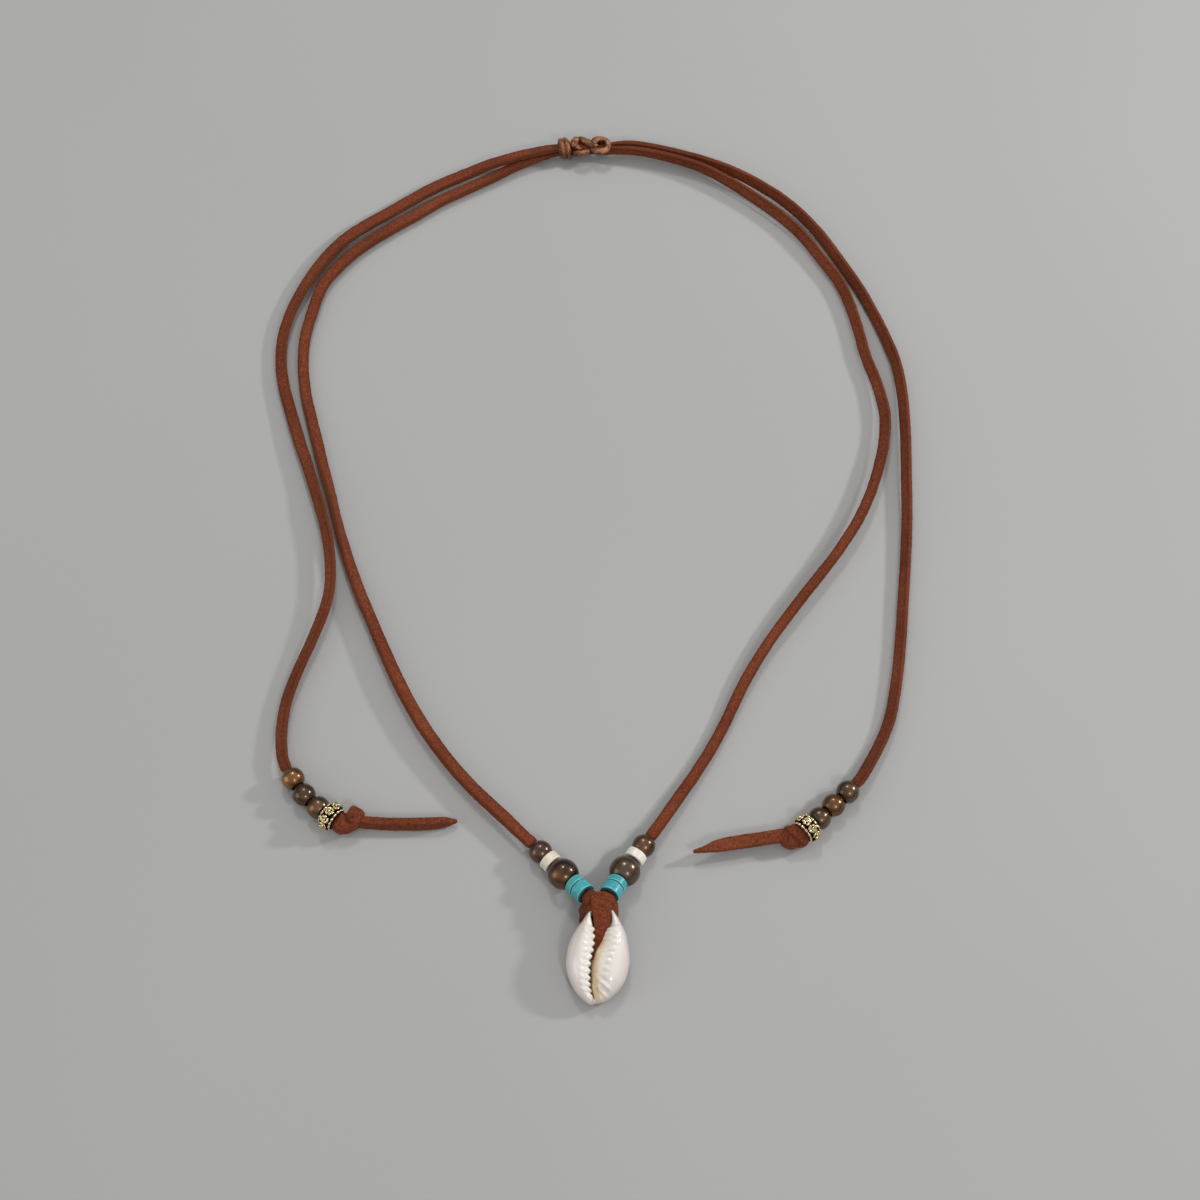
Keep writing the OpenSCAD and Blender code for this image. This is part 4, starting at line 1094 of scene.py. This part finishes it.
def make_sliding_knot():
    strands = []

    def strand(points, flat=0.74, segs=28, ref=(0, 0, 1), n=10, shade=0.0):
        q = resample(catmull(points, n), 0.12)[0]
        strands.append((q[:, :3], q[:, 3], tube(q[:, :3], q[:, 3], segs, flat=flat, ref=ref), shade))

    # two pressed turns round both laces at the left, and a thinner one beside them
    def turns(first, last, x0, pitch, lean, ry, rz, r):
        rows = []
        for q in np.linspace(first, last, int(60 * (last - first))):
            a = 2 * math.pi * q
            wob = 0.05 * math.sin(3 * a + 1.0)
            rows.append((x0 + pitch * q - lean * math.cos(a), 129.2 + (ry + wob) * math.cos(a), 3.5 + (rz + wob) * math.sin(a), r))
        return rows

    strand(turns(-0.15, 1.85, -8.28, 1.34, 0.30, 2.46, 2.34, 0.66), 1.52, 24, (1, 0, 0), 2)
    strand(turns(-0.10, 0.45, -9.00, 0.9, 0.05, 2.15, 1.95, 0.50), 1.15, 20, (1, 0, 0), 2, 0.8)
    # hook, crossing strand, strand below and ring, x, y, z, radius
    strand([(-2.5, 130.7, 4.2, 0.70), (-3.2, 131.05, 5.0, 0.90), (-4.0, 130.8, 5.3, 1.12), (-4.55, 130.0, 5.4, 1.26), (-4.5, 129.0, 5.5, 1.28), (-3.85, 128.3, 5.5, 1.16), (-3.1, 128.0, 5.0, 0.94), (-2.5, 128.3, 4.2, 0.70)])
    strand([(-4.3, 131.4, 3.4, 0.66), (-3.7, 131.6, 4.5, 0.76), (-2.7, 131.2, 5.3, 0.84), (-1.7, 130.5, 5.55, 0.94), (-0.7, 129.8, 5.65, 1.00), (0.2, 129.1, 5.75, 0.98), (0.9, 128.4, 5.6, 0.90), (1.5, 127.8, 5.0, 0.80), (1.8, 127.5, 4.3, 0.66)])
    strand([(-4.35, 127.3, 3.2, 0.50), (-4.35, 126.8, 4.2, 0.86), (-3.9, 126.3, 4.95, 1.10), (-3.1, 126.15, 5.15, 1.14), (-2.2, 126.25, 5.2, 1.08), (-1.2, 126.55, 5.2, 1.00), (-0.5, 127.1, 4.9, 0.84), (-0.2, 128.0, 4.3, 0.66)])
    strand([(1.5, 128.7, 5.2, 0.70), (0.9, 127.9, 5.2, 0.86), (1.6, 127.1, 5.25, 1.02), (2.9, 126.8, 5.3, 1.12), (4.25, 127.0, 5.35, 1.04), (5.2, 127.8, 5.4, 0.90), (5.52, 129.2, 5.4, 0.80), (5.0, 130.6, 5.35, 0.76), (3.8, 131.3, 5.3, 0.74), (2.5, 131.25, 5.4, 0.86), (1.5, 130.45, 5.6, 1.04), (1.0, 129.3, 5.6, 1.06), (0.7, 128.2, 5.0, 0.80)])
    strand([(0.3, 127.9, 5.3, 0.40), (1.0, 128.15, 6.05, 0.50), (1.7, 128.5, 6.15, 0.52), (2.3, 128.9, 5.6, 0.42)])
    # turns that pass behind and under the laces and come back between them
    for x in (-2.9, -1.9, -0.4, 2.2, 3.3, 4.4):
        strand([(x, 130.9, 4.7, 0.60), (x, 131.35, 3.4, 0.66), (x - 0.1, 131.0, 1.8, 0.56), (x - 0.2, 129.9, 1.25, 0.46), (x - 0.3, 128.9, 1.5, 0.42), (x - 0.3, 128.5, 2.3, 0.38)], 1.0, 18, (1, 0, 0), 10, 0.5)
    strand([(-4.7, 131.2, 4.8, 0.60), (-4.7, 131.4, 3.2, 0.60), (-4.6, 130.8, 1.6, 0.52), (-4.5, 129.2, 1.2, 0.44), (-4.4, 127.9, 1.8, 0.42), (-4.35, 127.3, 3.0, 0.42)], 1.0, 18, (1, 0, 0), 10, 0.6)
    v, f = join([q[2] for q in strands])
    o = new_object("knot_cord", v, f, cord_mat)
    p = coords(o)
    nrm = vertex_normals(o)
    d = 0.10 * n3(p, 0.85, 3.0) + 0.06 * n3(p, 2.0, 5.0) - 0.05 * np.abs(n3(p, 3.4, 8.0))
    set_coords(o, p + nrm * d[:, None])
    # painted shade where one strand meets another, on strands given a shade value, low down and on the undersides
    deep = np.zeros(len(p))
    start = 0
    for i, (line, r, part, shade) in enumerate(strands):
        count = len(part[0])
        q = p[start : start + count]
        near = np.full(count, 9.0)
        for j, (other, ro, _, _) in enumerate(strands):
            if j == i:
                continue
            for a in range(0, len(other), 2):
                near = np.minimum(near, np.linalg.norm(q - other[a], axis=1) - ro[a])
        deep[start : start + count] = np.maximum(shade, np.exp(-((np.maximum(near, 0.0) / 0.24) ** 2)))
        start += count
    deep = np.maximum(deep, np.clip((3.9 - p[:, 2]) / 2.5, 0, 0.8))
    deep = np.maximum(deep, np.clip((0.62 - nrm[:, 2]) / 0.9, 0, 0.55))
    attribute(o, "recess", deep)
    settle(o)
    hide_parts("sliding_knot")
    return o


make_sliding_knot()


# ---------------------------------------------------------------- soft unions of folded lace
def plain_strip(rows, ref=(0, 0, 1), step=0.3):
    path, s, rings, cut, fr = strip_surface(rows, ref, step, 3.0, 0.0)
    return loft(rings)


def pressed(o, lines, depth, width):
    """Creases pushed into a piece along lines on its surface."""
    p = coords(o)
    nrm = vertex_normals(o)
    total = np.zeros(len(p))
    for line in lines:
        path, _ = resample(catmull(line, 6), 0.15)
        best = np.full(len(p), 1e9)
        for q in path:
            best = np.minimum(best, ((p - q) ** 2).sum(1))
        total = np.maximum(total, np.exp(-best / width**2))
    set_coords(o, p - nrm * (depth * total)[:, None])
    return total


def folded(name, node, parts, seed, voxel=0.13, soften=6, relief=0.07, hairs=1500, creases=None, shade=None):
    v, f = join(parts)
    o = new_object(name, v, f, suede_mat)
    baked(
        o,
        ("REMESH", {"mode": "VOXEL", "voxel_size": voxel * MM}),
        ("SMOOTH", {"factor": 0.5, "iterations": soften}),
    )
    if not o.data.materials:
        o.data.materials.append(suede_mat)
    hollow = pressed(o, *creases) if creases else 0.0
    p = coords(o)
    nrm = vertex_normals(o)
    d = relief * (0.55 * n3(p, 2.4, seed) + 0.45 * n3(p, 5.2, seed + 1)) + 0.06 * n3(p, 0.7, seed + 2)
    set_coords(o, p + nrm * d[:, None])
    attribute(o, "cut", np.zeros(len(p)))
    # painted shade in the pressed creases, plus what shade(p) adds
    attribute(o, "painted_shade", np.clip(1.2 * hollow + (shade(p) if shade else 0.0), 0, 1.5))
    hair = fibres(name + "_fibres", o, hairs, int(seed * 10), (0.15, 0.45), width=0.028)
    for x in (o, hair):
        settle(x)
    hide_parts(node)
    return o


# hitch over the shell's end: routes as in the part, fuller where the laces leave the discs
ARCH = [
    [0.4, -107.4, 1.5, 90, 3.0, 1.2],
    [-1.0, -107.1, 2.3, 90, 3.0, 1.2],
    [-1.6, -106.5, 3.9, 90, 3.0, 1.2],
    [-0.7, -105.3, 6.0, 90, 3.0, 1.4],
    [0.7, -104.0, 7.6, 90, 3.6, 1.7],
    [2.8, -103.5, 8.4, 90, 3.8, 1.9],
    [4.9, -103.8, 8.0, 90, 3.5, 1.7],
    [6.4, -104.7, 6.5, 90, 2.6, 1.4],
    [7.0, -106.0, 4.4, 90, 2.2, 1.2],
    [6.6, -106.6, 2.4, 90, 2.4, 1.2],
    [4.9, -107.1, 1.5, 90, 2.6, 1.2],
]
TONGUE = [
    [3.2, -102.4, 7.2, 0, 3.2, 1.8],
    [3.2, -103.2, 8.1, 0, 4.6, 2.1],
    [3.2, -104.4, 8.5, 0, 5.2, 2.3],
    [3.3, -105.8, 8.3, 0, 5.0, 2.3],
    [3.4, -107.4, 7.8, 0, 4.6, 2.3],
    [3.5, -109.2, 7.2, 0, 4.1, 2.2],
    [3.2, -110.8, 6.6, 0, 3.3, 2.2],
    [2.8, -112.6, 6.0, 0, 2.4, 2.0],
    [2.3, -114.4, 5.6, 0, 1.8, 1.8],
    [1.7, -116.4, 5.3, 0, 1.4, 1.6],
    [1.2, -118.2, 5.0, 0, 1.1, 1.4],
]
UNDER = [
    [2.6, -112.0, 1.6, 0, 4.0, 1.4],
    [2.6, -109.0, 1.7, 0, 5.0, 2.4],
    [2.5, -106.4, 1.9, 0, 6.0, 2.6],
    [2.5, -104.8, 2.0, 0, 5.4, 2.4],
]


def stub(at, d, to):
    rows = [[*(at + q * d), 0, w, t] for q, w, t in ((0.2, 2.1, 1.1), (4.5, 2.1, 1.1), (8.5, 2.3, 1.5), (9.15, 3.0, 2.3), (9.8, 3.5, 2.8), (10.6, 3.8, 3.0))]
    return rows + [[*to, 0, 4.6, 3.2]]


hitch = folded(
    "hitch",
    "lace_hitch",
    [
        plain_strip(ARCH, unit([0, 1, 0.4])),
        plain_strip(TONGUE),
        plain_strip(UNDER),
        plain_strip(stub(large_left, in_left, [1.3, -103.6, 7.5])),
        plain_strip(stub(large_right, in_right, [4.2, -103.7, 7.7])),
    ],
    5.0,
    soften=22,
    relief=0.03,
    hairs=500,
    creases=(
        [
            [(4.2, -104.2, 9.3), (5.2, -104.6, 9.0), (6.3, -105.1, 8.3), (7.2, -105.6, 7.2)],
            [(0.7, -103.9, 9.1), (0.7, -105.2, 9.0), (0.9, -106.8, 8.5), (1.2, -108.6, 8.0)],
        ],
        0.62,
        0.36,
    ),
    # painted shade where the lace turns down beside the shell and where the tongue runs down into the slot
    shade=lambda p: 1.0 * np.clip((0.2 - p[:, 0]) / 1.2, 0, 1) + 0.5 * np.clip((-113.2 - p[:, 1]) / 2.0, 0, 1),
)

# end knots: stub, one band folded round it and the body below
KNOT_L_STUB = [[-69.3, -77.5, 3.0, 0, 2.2, 1.2], [-67.5, -78.9, 3.1, 0, 2.2, 1.2], [-64.9, -80.9, 3.2, 0, 2.2, 1.3], [-62.2, -81.6, 3.2, 0, 2.8, 1.5]]
KNOT_R_STUB = [[59.3, -80.4, 3.0, 0, 2.2, 1.2], [57.5, -82.0, 3.1, 0, 2.2, 1.2], [55.3, -84.0, 3.2, 0, 2.4, 1.3], [53.0, -85.6, 3.2, 0, 2.8, 1.5]]


def pebble(centre, half, along, power=3.0):
    """Rounded block: the higher the power, the squarer its corners."""
    a = unit(along)
    q = unit(np.cross(a, [0, 0, 1]))
    v, f = ball((0, 0, 0), 1.0, 18, 28)
    v = v * ((np.abs(v) ** power).sum(1) ** (-1.0 / power))[:, None] * arr(half)
    return arr(centre) + v @ arr([a, q, np.cross(q, a)]), f


folded(
    "knot_l",
    "end_knot_left",
    [
        plain_strip(KNOT_L_STUB),
        plain_strip(LEFT_TIP),
        pebble((-63.3, -81.6, 2.8), (1.85, 2.65, 2.3), (0.8, -0.6, 0), 4.0),
        pebble((-61.7, -82.0, 2.7), (2.2, 1.7, 2.2), (0.913, 0.408, 0), 5.0),
        pebble((-60.1, -80.0, 2.9), (2.0, 2.35, 2.4), (0.853, -0.522, 0), 7.0),
    ],
    6.0,
    soften=3,
    creases=(
        [
            [(-62.6, -78.8, 4.4), (-62.2, -80.2, 5.1), (-61.9, -81.6, 5.0), (-60.9, -82.4, 4.6)],
            [(-62.0, -80.9, 5.1), (-61.0, -80.7, 5.2), (-60.2, -80.9, 5.2)],
        ],
        0.26,
        0.50,
    ),
)
folded(
    "knot_r",
    "end_knot_right",
    [
        plain_strip(KNOT_R_STUB),
        plain_strip(RIGHT_TIP),
        pebble((53.8, -84.9, 2.8), (3.0, 3.0, 2.4), (1, -0.15, 0), 2.7),
        pebble((51.6, -86.3, 2.6), (2.2, 2.0, 2.1), (0.9, -0.3, 0), 2.8),
        pebble((51.5, -84.0, 2.9), (1.6, 1.5, 2.0), (1, 0, 0), 3.0),
    ],
    7.0,
    creases=(
        [
            [(50.0, -83.4, 4.0), (51.2, -85.0, 5.0), (50.8, -86.8, 4.4)],
            [(51.2, -85.1, 5.0), (52.9, -86.6, 4.9), (54.9, -87.5, 3.6)],
            [(55.6, -83.2, 4.2), (56.3, -85.0, 4.0)],
        ],
        0.30,
        0.50,
    ),
)


# ---------------------------------------------------------------- cowrie shell
# Ribs and teeth as places along the slot, mm in the shell's own frame
LEFT_TEETH = [-9.2, -7.7, -6.25, -4.75, -3.0, -1.25, 0.5, 2.1, 3.75, 5.6, 7.4, 9.2]
RIGHT_RIBS = [-9.6, -7.7, -5.8, -3.8, -2.45, -1.25, 0.1, 1.4, 2.7, 4.1, 5.4, 6.5, 7.5, 8.8]
RIB_SLOPE = [1.35, 1.30, 1.15, 0.82, 0.46, 0.33, 0.20, 0.13, 0.10, 0.03, -0.05, -0.12, -0.20, -0.2]
RIB_FROM = [1.2, 1.2, 1.3, 1.4, 1.7, 2.2, 2.3, 1.8, 1.3, 0.7, 0.4, 0.3, 0.1, 0.1]
RIB_TO = [2.8, 3.0, 3.6, 4.9, 4.0, 4.3, 4.7, 4.9, 4.6, 4.2, 3.7, 3.4, 3.5, 3.0]


def soft(v, at, width):
    return 1.0 / (1.0 + math.exp(-max(-40.0, min(40.0, (v - at) / width))))


def make_shell():
    per = 16
    rows = catmull(SHELL_ROWS, per, closed=True)
    names = len(SHELL_ROWS)
    n = len(rows)
    station = np.arange(n) / per
    prof_l = [(0.00, 0.62), (0.012, 0.73), (0.035, 0.82), (0.07, 0.875), (0.12, 0.915), (0.20, 0.950), (0.29, 0.978), (0.38, 0.994), (0.47, 0.992), (0.57, 0.955), (0.67, 0.89), (0.77, 0.79), (0.86, 0.67), (0.93, 0.54), (0.98, 0.41), (1.00, 0.28), (0.99, 0.16), (0.95, 0.06), (0.90, 0.00)]
    prof_r = [(-0.05, 0.24), (-0.03, 0.36), (0.00, 0.48), (0.05, 0.595), (0.12, 0.70), (0.18, 0.79), (0.24, 0.865), (0.31, 0.925), (0.40, 0.972), (0.49, 0.990), (0.58, 0.985), (0.67, 0.950), (0.76, 0.885), (0.85, 0.77), (0.92, 0.63), (0.97, 0.48), (1.00, 0.32), (0.99, 0.16), (0.95, 0.06), (0.90, 0.00)]
    inner = [(0.80, 0.00), (0.74, 0.02), (0.78, 0.20), (0.72, 0.36), (0.60, 0.46), (0.42, 0.48), (0.24, 0.44), (0.12, 0.38)]
    m_out = 62

    def dense_profile(prof):
        p = catmull(prof, 10)
        seg = np.linalg.norm(np.diff(p * arr([8.5, 6.0]), axis=0), axis=1)
        s = np.concatenate([[0], np.cumsum(seg)])
        at = np.linspace(0, 1, m_out) ** 1.2 * s[-1]
        return np.stack([np.interp(at, s, p[:, 0]), np.interp(at, s, p[:, 1])], 1)

    pl, pr = dense_profile(prof_l), dense_profile(prof_r)
    rib_no = np.arange(len(RIGHT_RIBS))
    RIBS_AT, RIBS_LEAN = arr(RIGHT_RIBS), arr(RIB_SLOPE)
    tooth_no = np.arange(len(LEFT_TEETH))
    rings, ochre, margin, inside, pink = [], [], [], [], []
    for i in range(n):
        sx, sy, rx, ry, h = rows[i]
        st = station[i]
        if st < 8.2:
            w = 1.0
        elif st < 9.6:
            w = 1 - (st - 8.2) / 1.4
        elif st < names - 1.4:
            w = 0.0
        else:
            w = (st - (names - 1.4)) / 1.4
        w = w * w * (3 - 2 * w)
        prof = pr * w + pl * (1 - w)
        span = math.hypot(rx - sx, ry - sy)
        ring, oc, mg, ins, pk = [], [], [], [], []
        for fx, fz in prof:
            x = sx + (rx - sx) * fx
            y = sy + (ry - sy) * fx
            z = fz * h
            d = fx * span
            o_here = 0.0
            if 9.6 < st < 18.2:
                # left lip: knob teeth on the slot, each with a short rib behind it
                k = -0.28 * min(1.0, max(0.0, (y - 1.0) / 7.0)) + 0.14 * min(1.0, max(0.0, (1.0 - y) / 4.0))
                ph = np.interp(y - k * d, LEFT_TEETH, tooth_no)
                u = abs(math.cos(math.pi * ph))
                knob = u**1.1
                live = soft(y, -9.0, 0.35) * soft(-y, -8.3, 0.12)
                tip = math.exp(-((max(0.0, d) / 0.62) ** 2))
                plate = 1 - soft(d, 2.35, 0.22)
                deep = 0.24 * math.exp(-((d / 0.8) ** 2)) + 0.15
                x += live * tip * (0.56 * knob - 0.20)
                z += live * plate * deep * (u - 0.62)
                z += live * 0.15 * u**1.5 * math.exp(-(((d - 2.15) / 0.30) ** 2))
                z += live * 0.07 * u * math.exp(-(((d - 0.40) / 0.30) ** 2))
                z -= live * 0.10 * math.exp(-(((d - 1.25) / 0.50) ** 2))
            elif st < 8.9 or st > names - 0.6:
                # right lip: fine ribs behind a smooth inner slope, leaning more towards the front end
                fan = RIBS_AT - RIBS_LEAN * d
                ph = np.interp(y, fan, rib_no)
                y0 = np.interp(ph, rib_no, RIGHT_RIBS)
                a, b = np.interp(ph, rib_no, RIB_FROM), np.interp(ph, rib_no, RIB_TO)
                u = abs(math.cos(math.pi * ph))
                rib = u ** (1.3 + 1.8 * math.exp(-(((y0 + 4.9) / 1.6) ** 2)))
                live = soft(y0, -9.2, 0.3) * soft(-y0, -8.05, 0.10)
                strong = 1.0 + 1.15 * math.exp(-(((y0 + 3.9) / 0.75) ** 2)) + 0.8 * math.exp(-(((y0 + 5.9) / 0.8) ** 2))
                here = soft(d, a, 0.16) * (1 - soft(d, b, 0.22))
                z += live * w * 0.27 * strong * (rib - 0.42) * here
                z += live * w * 0.11 * rib * math.exp(-(((d - b + 0.35) / 0.28) ** 2)) * soft(y0, 0.6, 0.3)
                # small edge teeth near the fold
                x -= w * 0.22 * u * math.exp(-((max(0.0, d) / 0.5) ** 2)) * soft(y0, 4.6, 0.3) * live
                # the fold that the ribs end at, towards the hitched end
                edge = y - 7.62 - 0.20 * d
                z -= w * 0.50 * soft(edge, 0.0, 0.09) * (1 - soft(d, 2.5, 0.32)) * (1 - soft(y, 10.0, 0.6))
                z += w * 0.14 * math.exp(-((edge + 0.30) ** 2) / 0.10) * (1 - soft(d, 3.1, 0.3))
                reach = np.interp(y, [-9.5, -7.0, -3.6, -0.4, 2.4, 4.9, 7.0], [1.7, 1.75, 1.45, 1.55, 1.75, 0.75, 0.0])
                o_here = w * (1 - soft(d, reach, 0.22)) * (1 - soft(y, 6.3, 0.5))
                # inner edge closes in towards the front end
                x -= w * 0.50 * (1 - soft(y, -6.2, 0.5)) * math.exp(-((max(0.0, d) / 0.9) ** 2))
                # darker floor of the channel towards the front end
                z -= w * 0.25 * math.exp(-(((d - 0.95) / 0.35) ** 2)) * (1 - soft(y, -5.6, 0.6))
                pk.append(w * soft(y, 7.9, 0.2) * (1 - soft(d, 1.5, 0.35)) * 0.7)
            ring.append((x, y, z))
            oc.append(o_here)
            mg.append(max(0.0, (fx - 0.70) / 0.30) ** 1.5)
            ins.append(0.0)
            if len(pk) < len(ring):
                pk.append(0.0)
        for fx, fz in inner:
            x = sx + (rx - sx) * fx
            y = sy + (ry - sy) * fx
            ring.append((x, y, fz * h))
            oc.append(0.25)
            mg.append(0.0)
            ins.append(0.8)
            pk.append(0.0)
        rings.append(ring)
        ochre.append(oc)
        margin.append(mg)
        inside.append(ins)
        pink.append(pk)
    v, f = loft(rings, closed_ring=True)
    tilt = math.radians(10.0)
    rot = arr([[1, 0, 0], [0, math.cos(tilt), -math.sin(tilt)], [0, math.sin(tilt), math.cos(tilt)]])
    v = v @ rot.T + arr([2.4, -117.6, 2.2])
    o = new_object("shell", v, f, shell_mat)
    attribute(o, "ochre", arr(ochre).ravel())
    attribute(o, "margin", arr(margin).ravel())
    attribute(o, "inside", arr(inside).ravel())
    attribute(o, "pink", arr(pink).ravel())
    settle(o)
    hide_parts("cowrie_shell")
    return o


make_shell()

# ---------------------------------------------------------------- stage and light
floor_mat, _nt, _b = node_material("table")
_tc = add(_nt, "ShaderNodeTexCoord").outputs["Object"]
_r = ramp(_nt, [(0.3, (0.440, 0.440, 0.438)), (0.7, (0.452, 0.452, 0.450))])
_nt.links.new(noise_node(_nt, 6.0, 2.0, 0.5, 0.0, _tc).outputs["Fac"], _r.inputs["Fac"])
_nt.links.new(_r.outputs["Color"], _b.inputs["Base Color"])
_b.inputs["Roughness"].default_value = 0.75
_b.inputs["Specular IOR Level"].default_value = 0.25
floor = new_object("table", [(-2500, -2500, 0), (2500, -2500, 0), (2500, 2500, 0), (-2500, 2500, 0)], [(0, 1, 2, 3)], floor_mat, False)


def lamp(name, at, to, size, watts, colour=(1, 1, 1), size_y=None):
    d = bpy.data.lights.new(name, "AREA")
    d.shape = "RECTANGLE" if size_y else "DISK"
    d.size = size
    if size_y:
        d.size_y = size_y
    d.energy = watts
    d.color = colour
    o = bpy.data.objects.new(name, d)
    o.location = (Vector(at) + PLACE) * MM
    look = Vector(arr(to) - arr(at))
    o.rotation_euler = look.to_track_quat("-Z", "Y").to_euler()
    bpy.context.scene.collection.objects.link(o)
    return o


lamp("key", (840, 243, 451), (0, -10, 0), 0.085, 3.88, (0.985, 0.99, 1.0))
lamp("back", (-60, 600, 900), (0, 0, 0), 0.19, 2.2, (0.985, 0.99, 1.0))
lamp("front", (330, -640, 760), (0, -40, 0), 0.16, 1.45, (1.0, 0.98, 0.95))
lamp("side", (-900, -260, 330), (0, -20, 0), 0.62, 1.35, (1.0, 0.992, 0.975))

world = bpy.data.worlds.new("world")
bpy.context.scene.world = world
world.use_nodes = True
bg = world.node_tree.nodes["Background"]
bg.inputs["Strength"].default_value = 0.565
_wn = world.node_tree
_sep = add(_wn, "ShaderNodeSeparateXYZ")
_wn.links.new(add(_wn, "ShaderNodeTexCoord").outputs["Generated"], _sep.inputs[0])
_r = ramp(_wn, [(0.0, (0.16, 0.16, 0.16)), (0.30, (0.30, 0.30, 0.295)), (0.62, (0.97, 0.967, 0.951)), (1.0, (0.985, 0.981, 0.965))])
_wn.links.new(_sep.outputs["Z"], _r.inputs["Fac"])
_wn.links.new(_r.outputs["Color"], bg.inputs["Color"])
bpy.context.scene.view_settings.view_transform = "Standard"
